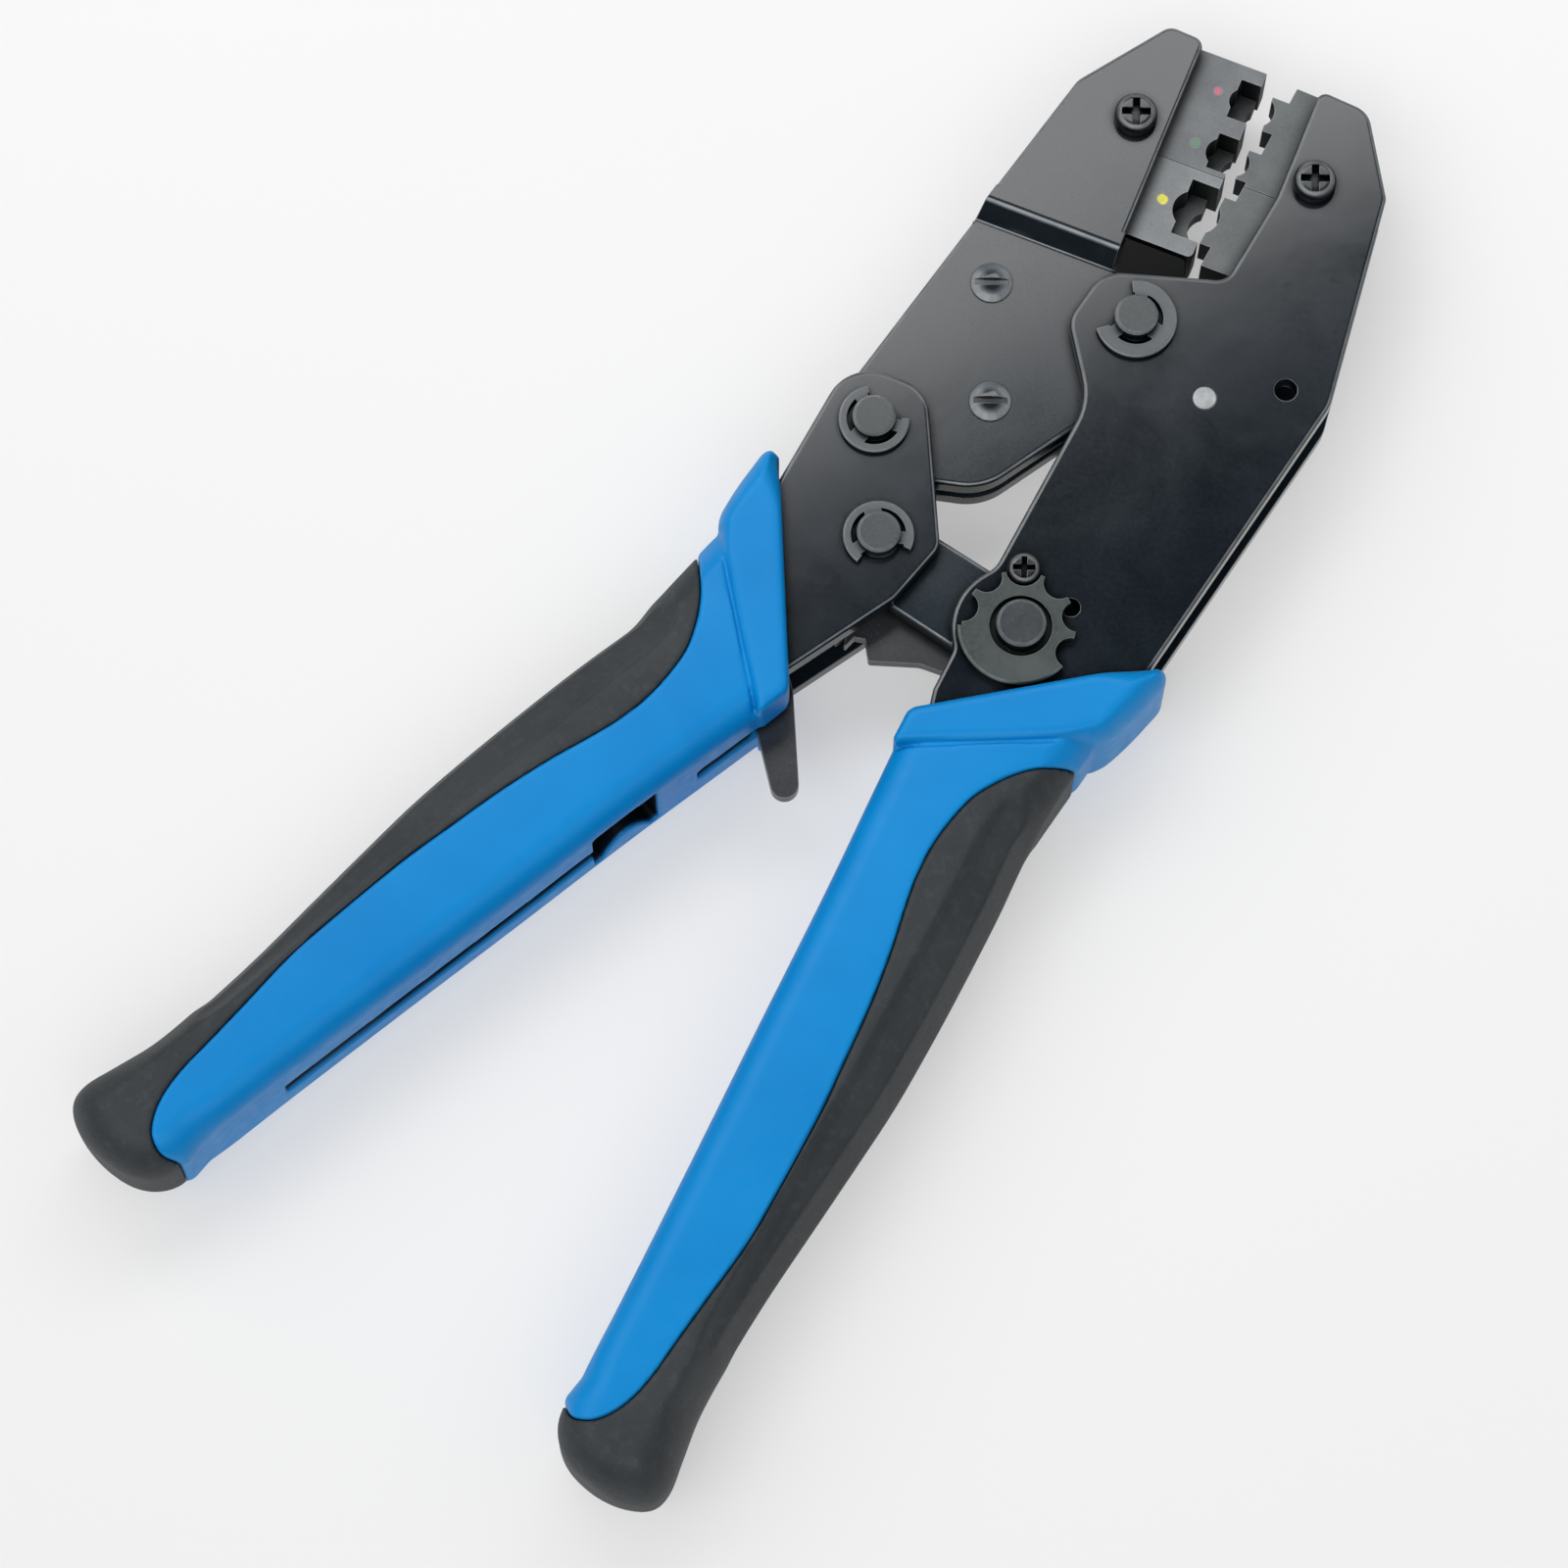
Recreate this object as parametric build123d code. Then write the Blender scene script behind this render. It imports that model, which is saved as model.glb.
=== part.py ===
from build123d import *
import math
import os

# Ratchet crimping tool, handles open. All sizes in mm.
# The plan is drawn about the main pivot, with +Y along the fixed jaw towards the nose and
# +X towards the fixed side. Heights are measured from the mid-plane between the plates.
# place_in_row() then moves everything so that the tool lies on its back at Z = 0.

# ---- Driving dimensions ----
PLATE = 3.0                     # thickness of every lever plate
OUTER_LOW = 4.4                 # outer plates: mid-plane to inner face
OUTER_HIGH = OUTER_LOW + PLATE
LAYER_GAP = 0.2                 # running gap between neighbouring plates
INNER_HIGH = OUTER_LOW - LAYER_GAP
INNER_LOW = INNER_HIGH - PLATE  # jaw arms and toggle links
RATCHET_HALF = 1.0              # half thickness of the ratchet sector and pawl
EDGE_ROUND = 0.6                # rolled edge on the outside faces of the plates

PIN_R = 3.0                     # the three lever pins
RUNNING = 0.05                  # radial running clearance of a pin in its hole
OPEN_PIVOT_R = 3.7              # jaw hole round the jaw link pin
HALF_DEPTH = 10.8               # mid-plane to the back plane that the tool lies on

MAIN_PIVOT = (0, 0)
JAW_PIN = (-28.2, -27.2)        # moving jaw to moving handle
TOGGLE_PIN = (-21.4, -42.6)     # moving handle to toggle link
ADJUSTER = (1.25, -47.7)        # toggle link to fixed handle
PAWL_PIN = (-34.0, -59.0)
ANCHOR_PIN = (12.9, -7.0)
LOCATOR_HOLE = (22.9, -1.7)
LOCATOR_R = 1.6
LOCK_SCREW = (-1.05, -39.9)
SPARE_LOCK_HOLE = (6.8, -42.2)  # second place for the lock screw, half under the wheel
FIXED_DIE_SCREW = (15.8, 28.2)
JAW_DIE_SCREW = (-10.9, 28.2)
JAW_BINDERS = ((-20.9, -1.15), (-14.7, -17.5))
JAW_HEEL = (-16.3, -22.1)       # centre of the round heel of the moving jaw
HEEL_R = 8.7

GRIP_LENGTH = 134.0
GRIP_HALF = 10.3                # half depth of the grip
COLLAR_HALF = HALF_DEPTH        # half depth of the flared collar
TANG_END = 112.0                # how far the plates reach down the grips

# Position of the main pivot in the row frame
PIVOT_X = 32.074
PIVOT_Y = 67.035

# Grip frames: x runs down the grip from the collar tip, y points to its outer side
FIXED_GRIP = Plane(origin=(20.62, -45.0, 0), x_dir=(-0.1028, -0.9947, 0), z_dir=(0, 0, 1))
MOVING_GRIP = Plane(origin=(-38.23, -37.29, 0), x_dir=(-0.46, -0.888, 0), z_dir=(0, 0, -1))


# ---- Helpers ----
def outline(*corners):
    """Closed flat shape from corners given as (x, y, rounding radius)."""
    points = [(x, y) for x, y, r in corners]
    radii = [r for x, y, r in corners]
    return make_face(FilletPolyline(*points, radius=radii, close=True))


def disc(centre, radius):
    return Pos(*centre) * Circle(radius)


def hull(*discs):
    """Belt-shaped outline round discs given as (centre, radius)."""
    edges = [e for centre, radius in discs for e in disc(centre, radius).edges()]
    return make_hull(edges)


def slab(shape, low, high):
    """Flat shape made solid between two heights."""
    return extrude(Pos(0, 0, low) * shape, high - low, dir=(0, 0, 1))


def peg(centre, radius, low, high):
    return slab(disc(centre, radius), low, high)


def polar(centre, radius, degrees):
    angle = math.radians(degrees)
    return (centre[0] + radius * math.cos(angle), centre[1] + radius * math.sin(angle))


def round_corner(shape, point, radius):
    """Round the corner of a flat shape that lies nearest to a point."""
    corner = shape.vertices().sort_by_distance((point[0], point[1], 0))[0]
    return fillet(corner, radius)


def roll_edges(solid, side):
    """Small rounding along the outside face of a plate; side is +1 front, -1 rear."""
    face = solid.faces().filter_by(Axis.Z).sort_by(Axis.Z)[-1 if side > 0 else 0]
    return fillet(face.outer_wire().edges(), EDGE_ROUND)


def mirrored(solid):
    """The same part on the other side of the mid-plane."""
    return mirror(solid, about=Plane.XY)


def in_grip(frame, along, across, radius):
    """A corner given in a grip frame, turned into a corner of the plan."""
    point = frame.from_local_coords((along, across, 0))
    return (point.X, point.Y, radius)


# ---- Fixed side plates ----
def fixed_plate_outline():
    """Jaw cheek, pivot lobe, adjuster lobe and tang of the fixed side, in one plate."""
    body = outline(
        (11.6, 41.9, 1.4), (19.0, 41.4, 3.5), (25.9, 30.1, 2.0), (29.4, -1.5, 6.0),
        (19.8, -47.5, 2.0),
        in_grip(FIXED_GRIP, 32, -8.5, 6.0), in_grip(FIXED_GRIP, TANG_END, -9.5, 3.0),
        in_grip(FIXED_GRIP, TANG_END, -18.5, 3.0), in_grip(FIXED_GRIP, 36, -20.5, 6.0),
        (-6.4, -60.0, 2.0), (-4.9, -41.0, 0),
        (-2.0, -13.5, 10.0), (-8.8, -3.2, 4.0), (-6.9, 5.3, 5.0),
        (9.5, 10.4, 2.5), (11.6, 24.5, 3.0),
    )
    body += disc(ADJUSTER, 9.2)
    body = round_corner(body, (-4.9, -40.8), 4.0)
    return round_corner(body, (-6.1, -53.1), 2.5)


def fixed_plate(side):
    plate = slab(fixed_plate_outline(), OUTER_LOW, OUTER_HIGH)
    plate = roll_edges(plate, 1)
    plate -= peg(MAIN_PIVOT, PIN_R, OUTER_LOW, OUTER_HIGH)
    plate -= peg(JOURNAL, JOURNAL_R, OUTER_LOW, OUTER_HIGH)
    plate -= peg(ANCHOR_PIN, ANCHOR_R, OUTER_LOW, OUTER_HIGH)
    plate -= peg(LOCATOR_HOLE, LOCATOR_R, OUTER_LOW, OUTER_HIGH)
    if side > 0:
        plate -= peg(LOCK_SCREW, LOCK_SHANK_R, OUTER_LOW, OUTER_HIGH)
        plate -= peg(SPARE_LOCK_HOLE, LOCK_SHANK_R, OUTER_LOW, OUTER_HIGH)
        return plate - peg(FIXED_DIE_SCREW, SCREW_HOLE_R, OUTER_LOW, OUTER_HIGH)
    plate -= peg(FIXED_DIE_SCREW, SCREW_R, OUTER_LOW, OUTER_HIGH)
    return mirrored(plate)


# ---- Moving jaw plates ----
JOGGLE_TOP = 9.2                # where the raised cheek starts to bend inwards
JOGGLE_BOTTOM = 6.9             # where the bend ends on the arm
CHEEK_EDGE = -6.0               # edge of the cheek along the die
LEDGE_TOP = 12.2
LEDGE_EDGE = 3.0


def jaw_outline():
    """Cheek over a belt-shaped arm that joins the pivot, the heel and the jaw link pin."""
    cheek = outline(
        (CHEEK_EDGE, 42.8, 1.6), (-11.4, 43.1, 2.2), (-20.5, 30.6, 3.0), (-26.7, 6.0, 0),
        (CHEEK_EDGE, 6.0, 0),
    )
    arm = hull((MAIN_PIVOT, 7.0), (JAW_HEEL, HEEL_R), (JAW_PIN, 6.6), ((-26.0, 6.2), 0.7))
    return cheek + arm


def die_ledge():
    """Tongue of the jaw plate that closes the jaw below the lower die."""
    return outline(
        (CHEEK_EDGE - 2.0, 0, 0), (CHEEK_EDGE - 2.0, LEDGE_TOP, 0), (LEDGE_EDGE, LEDGE_TOP, 1.0),
        (6.0, 3.0, 0),
    )


def joggled_band(low_y, high_y):
    """Side view of the bend from the cheek level down to the arm level, one plate thick."""
    rise = OUTER_HIGH - INNER_HIGH
    slope = math.atan2(rise, JOGGLE_TOP - JOGGLE_BOTTOM)
    shift = PLATE * math.tan(slope / 2)
    band = outline(
        (high_y, OUTER_HIGH, 0), (JOGGLE_TOP, OUTER_HIGH, 1.2), (JOGGLE_BOTTOM, INNER_HIGH, 0.5),
        (low_y, INNER_HIGH, 0), (low_y, INNER_LOW, 0), (JOGGLE_BOTTOM + shift, INNER_LOW, 1.2),
        (JOGGLE_TOP + shift, OUTER_LOW, 0.5), (high_y, OUTER_LOW, 0),
    )
    reach = 60.0
    side_view = Plane(origin=(-reach, 0, 0), x_dir=(0, 1, 0), z_dir=(1, 0, 0))
    return extrude(side_view * band, 2 * reach, dir=(1, 0, 0))


def between_y(low_y, high_y):
    """Block that keeps one stretch of the jaw plate."""
    return Pos(0, (low_y + high_y) / 2, 0) * Box(160, high_y - low_y, 40)


def jaw_plate(side):
    shape = jaw_outline()
    bend_low = JOGGLE_BOTTOM - 0.6
    bend_high = JOGGLE_TOP + 2.4
    cheek = roll_edges(slab(shape, OUTER_LOW, OUTER_HIGH), 1) & between_y(bend_high, 60)
    arm = roll_edges(slab(shape, INNER_LOW, INNER_HIGH), 1) & between_y(-60, bend_low)
    bend = slab(shape, 0, OUTER_HIGH) & joggled_band(bend_low, bend_high)
    arm += slab(die_ledge(), INNER_LOW, INNER_HIGH)
    plate = cheek + bend + arm
    plate -= peg(MAIN_PIVOT, PIN_R + RUNNING, 0, OUTER_HIGH)
    plate -= peg(JAW_PIN, OPEN_PIVOT_R, 0, OUTER_HIGH)
    for centre in JAW_BINDERS:
        plate -= peg(centre, BINDER_R, 0, OUTER_HIGH)
    if side > 0:
        return plate - peg(JAW_DIE_SCREW, SCREW_HOLE_R, 0, OUTER_HIGH)
    plate -= peg(JAW_DIE_SCREW, SCREW_R, 0, OUTER_HIGH)
    return mirrored(plate)


# ---- Moving handle plates ----
def handle_outline():
    return outline(
        (-34.7, -20.1, 6.2), (-23.1, -20.1, 5.5), (-13.0, -40.8, 3.0), (-16.0, -50.0, 3.5),
        (-26.3, -65.6, 3.0),
        in_grip(MOVING_GRIP, 36, -20.5, 6.0), in_grip(MOVING_GRIP, TANG_END, -18.5, 3.0),
        in_grip(MOVING_GRIP, TANG_END, -9.5, 3.0), in_grip(MOVING_GRIP, 32, -8.5, 6.0),
        (-37.3, -41.0, 8.0),
    )


def handle_plate(side):
    plate = roll_edges(slab(handle_outline(), OUTER_LOW, OUTER_HIGH), 1)
    for centre, radius in ((JAW_PIN, PIN_R), (TOGGLE_PIN, PIN_R), (PAWL_PIN, PAWL_PIN_R)):
        plate -= peg(centre, radius, OUTER_LOW, OUTER_HIGH)
    return plate if side > 0 else mirrored(plate)


# ---- Toggle links and ratchet ----
TEETH = 6
TOOTH_PITCH = 5.5               # degrees about the toggle pin
TOOTH_START = 245.0
TOOTH_ROOT_R = 12.9
TOOTH_TIP_R = 14.5
STOP_R = 16.0                   # end stop past the last tooth
STOP_ANGLE = 290.0


def toggle_link(side):
    """Belt-shaped link, a little deeper on its lower side."""
    lower_toggle = (TOGGLE_PIN[0] - 0.2, TOGGLE_PIN[1] - 1.1)
    lower_adjuster = (ADJUSTER[0] - 0.1, ADJUSTER[1] - 0.6)
    belt = hull((TOGGLE_PIN, 5.4), (lower_toggle, 5.4), (ADJUSTER, 5.8), (lower_adjuster, 5.8))
    link = roll_edges(slab(belt, INNER_LOW, INNER_HIGH), 1)
    for centre in (TOGGLE_PIN, ADJUSTER):
        link -= peg(centre, PIN_R + RUNNING, INNER_LOW, INNER_HIGH)
    return link if side > 0 else mirrored(link)


def ratchet_sector():
    """Toothed plate between the two links, with a stop after the last tooth."""
    shape = hull((TOGGLE_PIN, 5.0), (ADJUSTER, 5.6))
    fan_end = TOOTH_START + TEETH * TOOTH_PITCH + 8
    fan_rim = [polar(TOGGLE_PIN, TOOTH_ROOT_R, a) for a in (TOOTH_START - 4, 262, fan_end)]
    fan = make_face([
        Line(TOGGLE_PIN, fan_rim[0]),
        ThreePointArc(*fan_rim),
        Line(fan_rim[2], TOGGLE_PIN),
    ])
    shape += fan
    for k in range(TEETH):
        start = TOOTH_START + k * TOOTH_PITCH
        shape += make_face(Polyline(
            polar(TOGGLE_PIN, TOOTH_ROOT_R - 0.6, start - 0.5),
            polar(TOGGLE_PIN, TOOTH_TIP_R, start + 0.4),
            polar(TOGGLE_PIN, TOOTH_TIP_R, start + 1.3),
            polar(TOGGLE_PIN, TOOTH_ROOT_R - 0.3, start + TOOTH_PITCH),
            close=True,
        ))
    web = outline(
        (*TOGGLE_PIN, 0), (*polar(TOGGLE_PIN, TOOTH_ROOT_R, fan_end - 2), 0),
        (*polar(TOGGLE_PIN, STOP_R, STOP_ANGLE - 3), 0.5),
        (*polar(TOGGLE_PIN, STOP_R, STOP_ANGLE + 2), 0.8), (-10.0, -55.6, 3.0),
        (-2.0, -55.4, 2.0), (*ADJUSTER, 0),
    )
    shape += web
    sector = slab(shape, -RATCHET_HALF, RATCHET_HALF)
    for centre in (TOGGLE_PIN, ADJUSTER):
        sector -= peg(centre, PIN_R + RUNNING, -RATCHET_HALF, RATCHET_HALF)
    return sector


PAWL_PIN_R = 1.5
PAWL_NOSE_R = 15.0              # nose clearance circle about the toggle pin
PAWL_NOSE_ANGLE = 236.0
PAWL_BOSS_R = 3.3
LEVER_TIP = (-20.8, -78.55)
LEVER_TIP_R = 1.95


def ratchet_pawl():
    """Pawl whose nose faces the teeth and whose tail comes out as the release lever."""
    nose_left = polar(TOGGLE_PIN, PAWL_NOSE_R + 0.2, PAWL_NOSE_ANGLE - 3)
    nose_right = polar(TOGGLE_PIN, PAWL_NOSE_R, PAWL_NOSE_ANGLE + 3)
    nose = outline(
        (-35.6, -56.2, 0), (*nose_left, 0.3), (*nose_right, 0.3), (-31.2, -58.6, 0),
    )
    tail = outline(
        (-32.6, -56.5, 1.0), (-29.0, -59.5, 2.0), (-24.6, -65.9, 4.0), (-19.0, -77.75, 0),
        (-22.44, -79.6, 0), (-27.4, -72.6, 4.0), (-35.6, -61.6, 1.0),
    )
    plan = nose + tail + disc(LEVER_TIP, LEVER_TIP_R) + disc(PAWL_PIN, PAWL_BOSS_R)
    pawl = slab(plan, -RATCHET_HALF, RATCHET_HALF)
    pawl -= peg(PAWL_PIN, PAWL_PIN_R + RUNNING, -RATCHET_HALF, RATCHET_HALF)
    return pawl.solid()


# ---- Dies ----
DIE_FACE = 3.6                  # face of the moving die at rest
JAW_DIE_BACK = -16.2
NEST_STEP = -1.4                # below this height the nests are shallow seats
NEST_SHALLOWER = 2.6
LAP_WIDTH = 7.0                 # half-lap tongue between an upper and a lower die
UPPER_LAP = 6.4
LOWER_LAP = 6.2
CLOSED_ANGLE = 6.0              # travel of the moving jaw, degrees
DIE_TOP = 42.5
DIE_BOTTOM = 12.7
DIE_SEAM = 25.4
SEAM_GAP = 0.1
# Nests of the moving die: low y, high y, floor x, centre and radius of the round bottom
NESTS = (
    (34.4, 40.4, 0.6, (1.9, 37.3), 1.9),
    (26.2, 31.7, 0.6, (1.9, 28.9), 2.2),
    (15.2, 23.8, -0.4, (1.3, 19.4), 2.9),
)
# Anvils of the fixed die: low y, high y, face x at low and high y, scoop centre and radius
ANVILS = (
    (34.2, 39.5, 6.0, 5.6, (4.2, 36.9), 2.5),
    (26.1, 30.8, 5.1, 5.4, (4.1, 28.4), 2.1),
    (15.2, 22.9, 3.9, 4.7, (2.2, 19.3), 3.0),
)


def lap_tongue(screw, length_y):
    """Half-lap tongue of a lower die, with the clamp screw through it."""
    middle = DIE_SEAM + length_y / 2 - 1
    return Pos(screw[0], middle) * Rectangle(LAP_WIDTH, length_y + 2)


def upper_jaw_block():
    """Upper moving die between the cheeks, standing out of them up to the die face."""
    low = DIE_SEAM + SEAM_GAP / 2
    return outline(
        (DIE_FACE, DIE_TOP, 0), (-10.6, DIE_TOP, 2.0), (JAW_DIE_BACK, 33.5, 2.0),
        (JAW_DIE_BACK, low, 0), (DIE_FACE, low, 0),
    )


def lower_jaw_block():
    high = DIE_SEAM - SEAM_GAP / 2
    return outline(
        (DIE_FACE, high, 0), (JAW_DIE_BACK, high, 0), (JAW_DIE_BACK, DIE_BOTTOM, 3.0),
        (DIE_FACE, DIE_BOTTOM, 0.8),
    )


def cut_nests(solid):
    """Front half of each nest full depth, rear half a shallow seat."""
    for low, high, floor, centre, radius in NESTS:
        mouth = Pos((floor + DIE_FACE + 1) / 2, (low + high) / 2)
        nest = mouth * Rectangle(DIE_FACE + 1 - floor, high - low) + disc(centre, radius)
        solid -= slab(nest, NEST_STEP, OUTER_LOW)
        solid -= slab(Pos(NEST_SHALLOWER, 0) * nest, -OUTER_LOW, NEST_STEP)
    return solid


def jaw_upper_die():
    die = slab(upper_jaw_block(), -OUTER_LOW, OUTER_LOW)
    die = cut_nests(die)
    die -= slab(lap_tongue(JAW_DIE_SCREW, UPPER_LAP), -OUTER_LOW, SEAM_GAP / 2)
    die -= peg(JAW_DIE_SCREW, SCREW_HOLE_R, -OUTER_LOW, OUTER_LOW)
    for centre, radius in (DOT_RED, DOT_GREEN):
        die -= peg(centre, radius, OUTER_LOW - DOT_DEPTH, OUTER_LOW)
    return die


def jaw_lower_die():
    die = slab(lower_jaw_block(), -OUTER_LOW, OUTER_LOW)
    die += slab(lap_tongue(JAW_DIE_SCREW, LOWER_LAP), -OUTER_LOW, -SEAM_GAP / 2)
    die = cut_nests(die)
    die -= peg(JAW_DIE_SCREW, SCREW_HOLE_R, -OUTER_LOW, OUTER_LOW)
    centre, radius = DOT_YELLOW
    return die - peg(centre, radius, OUTER_LOW - DOT_DEPTH, OUTER_LOW)


def closed_land(y):
    """Line that the face of the moving die reaches when the jaws are closed."""
    closing_gap = 0.35
    tilt = math.radians(CLOSED_ANGLE)
    return DIE_FACE * math.cos(tilt) + y * math.tan(tilt) + closing_gap


def fixed_land(low, high):
    """Block whose face lies on the closed line."""
    back = 21.5
    return make_face(Polyline(
        (closed_land(low), low), (closed_land(high), high), (back, high), (back, low),
        close=True,
    ))


def fixed_die_outline(low, high):
    """Land with the anvils, which stand into the front half of the nests."""
    shape = fixed_land(low, high)
    for base, top, face_low, face_high, centre, radius in ANVILS:
        if low < (base + top) / 2 < high:
            shape += make_face(Polyline(
                (face_low, base), (face_high, top), (10.0, top), (10.0, base), close=True,
            ))
            shape -= disc(centre, radius)
    return shape


def fixed_upper_die():
    cheek = outline(
        (3.0, 42.2, 0), (18.0, 41.6, 3.0), (21.0, 37.0, 2.0), (21.0, 25.0, 0), (3.0, 25.0, 0),
    )
    low = DIE_SEAM + SEAM_GAP / 2
    die = slab(fixed_die_outline(low, DIE_TOP) & cheek, NEST_STEP, OUTER_LOW)
    die += slab(fixed_land(low, DIE_TOP) & cheek, -OUTER_LOW, NEST_STEP)
    die -= slab(lap_tongue(FIXED_DIE_SCREW, UPPER_LAP), -OUTER_LOW, SEAM_GAP / 2)
    return die - peg(FIXED_DIE_SCREW, SCREW_HOLE_R, -OUTER_LOW, OUTER_LOW)


def fixed_lower_die():
    lower_end = outline(
        (2.0, 26.0, 0), (21.0, 26.0, 0), (21.0, 12.2, 2.0), (2.0, 12.2, 0),
    )
    high = DIE_SEAM - SEAM_GAP / 2
    die = slab(fixed_die_outline(12.0, high) & lower_end, NEST_STEP, OUTER_LOW)
    die += slab(fixed_land(12.0, high) & lower_end, -OUTER_LOW, NEST_STEP)
    die += slab(lap_tongue(FIXED_DIE_SCREW, LOWER_LAP), -OUTER_LOW, -SEAM_GAP / 2)
    return die - peg(FIXED_DIE_SCREW, SCREW_HOLE_R, -OUTER_LOW, OUTER_LOW)


DOT_DEPTH = 0.3
DOT_RED = ((-1.9, 37.5), 0.65)
DOT_GREEN = ((-2.1, 29.0), 0.75)
DOT_YELLOW = ((-3.3, 19.4), 0.85)


def size_dot(dot):
    """Paint filled into a dimple beside a nest."""
    centre, radius = dot
    return peg(centre, radius, OUTER_LOW - DOT_DEPTH, OUTER_LOW)


# ---- Pins, clips and screws ----
CLIP_LOW = OUTER_HIGH + 0.1
CLIP_THICK = 1.0
CLIP_GAP = 0.8                  # open ring between a pin and its clip
GROOVE_R = 2.3
PIN_END = 10.0
HEAD_LOW = 9.4
JOURNAL = (ADJUSTER[0] + 0.3, ADJUSTER[1])
JOURNAL_R = 3.4
ADJUSTER_END = 10.7
ANCHOR_R = 1.6


def lever_pin(centre, head_r, head_end, front_end):
    """Pin with a head at the back and a clip groove at the front."""
    pin = peg(centre, PIN_R, -OUTER_HIGH, front_end)
    pin = chamfer(pin.faces().sort_by(Axis.Z)[-1].edges(), 0.4)
    head = peg(centre, head_r, -head_end, -OUTER_HIGH)
    head = chamfer(head.faces().sort_by(Axis.Z)[0].edges(), 0.6)
    groove = slab(Circle(PIN_R + 1) - Circle(GROOVE_R), CLIP_LOW, CLIP_LOW + CLIP_THICK)
    return pin + head - Pos(*centre) * groove


def e_clip(centre, outer_r, opening_angle):
    """Spring clip with three lugs in the groove and an opening on one side."""
    ring = Circle(outer_r) - Circle(PIN_R + CLIP_GAP)
    for lug_angle, width in ((180, 2.4), (68, 1.8), (-68, 1.8)):
        ring += Rot(0, 0, lug_angle) * Pos((GROOVE_R + outer_r - 0.8) / 2, 0) * Rectangle(
            outer_r - 0.8 - GROOVE_R, width
        )
    mouth = make_face(Polyline(
        (0, 0), polar(MAIN_PIVOT, 3 * outer_r, -50), polar(MAIN_PIVOT, 3 * outer_r, 50),
        close=True,
    ))
    shape = ring - mouth - Circle(GROOVE_R)
    clip = slab(shape, CLIP_LOW, CLIP_LOW + CLIP_THICK).solid()
    rim = clip.faces().sort_by(Axis.Z)[-1].edges().filter_by(GeomType.CIRCLE)
    clip = chamfer(rim.filter_by(lambda e: abs(e.radius - outer_r) < 0.01), 0.2)
    return Pos(*centre) * Rot(0, 0, opening_angle) * clip


KEY_ANGLE = -102.0              # key that turns the adjuster pin with its wheel
KEY_WIDTH = 1.0
KEY_HIGH = 0.6


def keyed_disc():
    """Round of the front journal with the small key on its rim."""
    key = Pos(JOURNAL_R, 0) * Rectangle(2 * KEY_HIGH, KEY_WIDTH)
    return disc(JOURNAL, JOURNAL_R) + Pos(*JOURNAL) * Rot(0, 0, KEY_ANGLE) * key


def adjuster_pin():
    """Eccentric pin: plain journals in the plates, the toggle turns on its middle."""
    front = peg(JOURNAL, JOURNAL_R, OUTER_LOW, ADJUSTER_END)
    front = chamfer(front.faces().sort_by(Axis.Z)[-1].edges(), 0.4)
    front += slab(keyed_disc(), OUTER_HIGH, RECESS_FLOOR)
    rear = peg(JOURNAL, JOURNAL_R, -HEAD_LOW, -OUTER_LOW)
    groove = slab(Circle(5) - Circle(GROOVE_R), -CLIP_LOW - CLIP_THICK, -CLIP_LOW)
    rear -= Pos(*JOURNAL) * groove
    return front + rear + peg(ADJUSTER, PIN_R, -OUTER_LOW, OUTER_LOW)


WHEEL_R = 8.4
TOOTH_R = 7.8                   # tips of the star teeth, a little inside the plain rim
PLAIN_RIM_BELOW = 3.0           # the plain rim starts this far below the centre
WHEEL_THICK = 1.6
RECESS_WIDTH = 0.9              # recess round the pin in the top of the wheel
RECESS_FLOOR = OUTER_HIGH + 0.6
NOTCH_R = 2.15
LOCK_NOTCH_R = 2.5
NOTCH_PITCH = 38.0


def adjuster_wheel():
    """Star wheel: notches on its upper half, one of them holding the lock screw."""
    lower_half = Pos(ADJUSTER[0], ADJUSTER[1] - PLAIN_RIM_BELOW - WHEEL_R) * Rectangle(
        2 * WHEEL_R, 2 * WHEEL_R
    )
    shape = disc(ADJUSTER, TOOTH_R) + (disc(ADJUSTER, WHEEL_R) & lower_half)
    dx = LOCK_SCREW[0] - ADJUSTER[0]
    dy = LOCK_SCREW[1] - ADJUSTER[1]
    reach = math.hypot(dx, dy)
    first = math.degrees(math.atan2(dy, dx))
    for k in range(-3, 3):
        radius = LOCK_NOTCH_R if k == 0 else NOTCH_R
        shape -= disc(polar(ADJUSTER, reach, first + k * NOTCH_PITCH), radius)
    wheel = slab(shape - keyed_disc(), OUTER_HIGH, OUTER_HIGH + WHEEL_THICK)
    top = OUTER_HIGH + WHEEL_THICK
    wheel -= peg(JOURNAL, JOURNAL_R + RECESS_WIDTH, RECESS_FLOOR, top)
    rim = wheel.faces().sort_by(Axis.Z)[-1].outer_wire().edges().sort_by(SortBy.LENGTH)[-1]
    return chamfer(rim, 0.3)


SCREW_R = 2.0
SCREW_HOLE_R = 2.2
LOCK_SHANK_R = 1.3
# Cross recess and dome of a pan head, as shares of its radius or height
HEAD_DOME = 0.42
CROSS_WIDTH = 0.34
CROSS_LENGTH = 1.35
CROSS_FLOOR = 0.35
CROSS_TURN = 20.0


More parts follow.
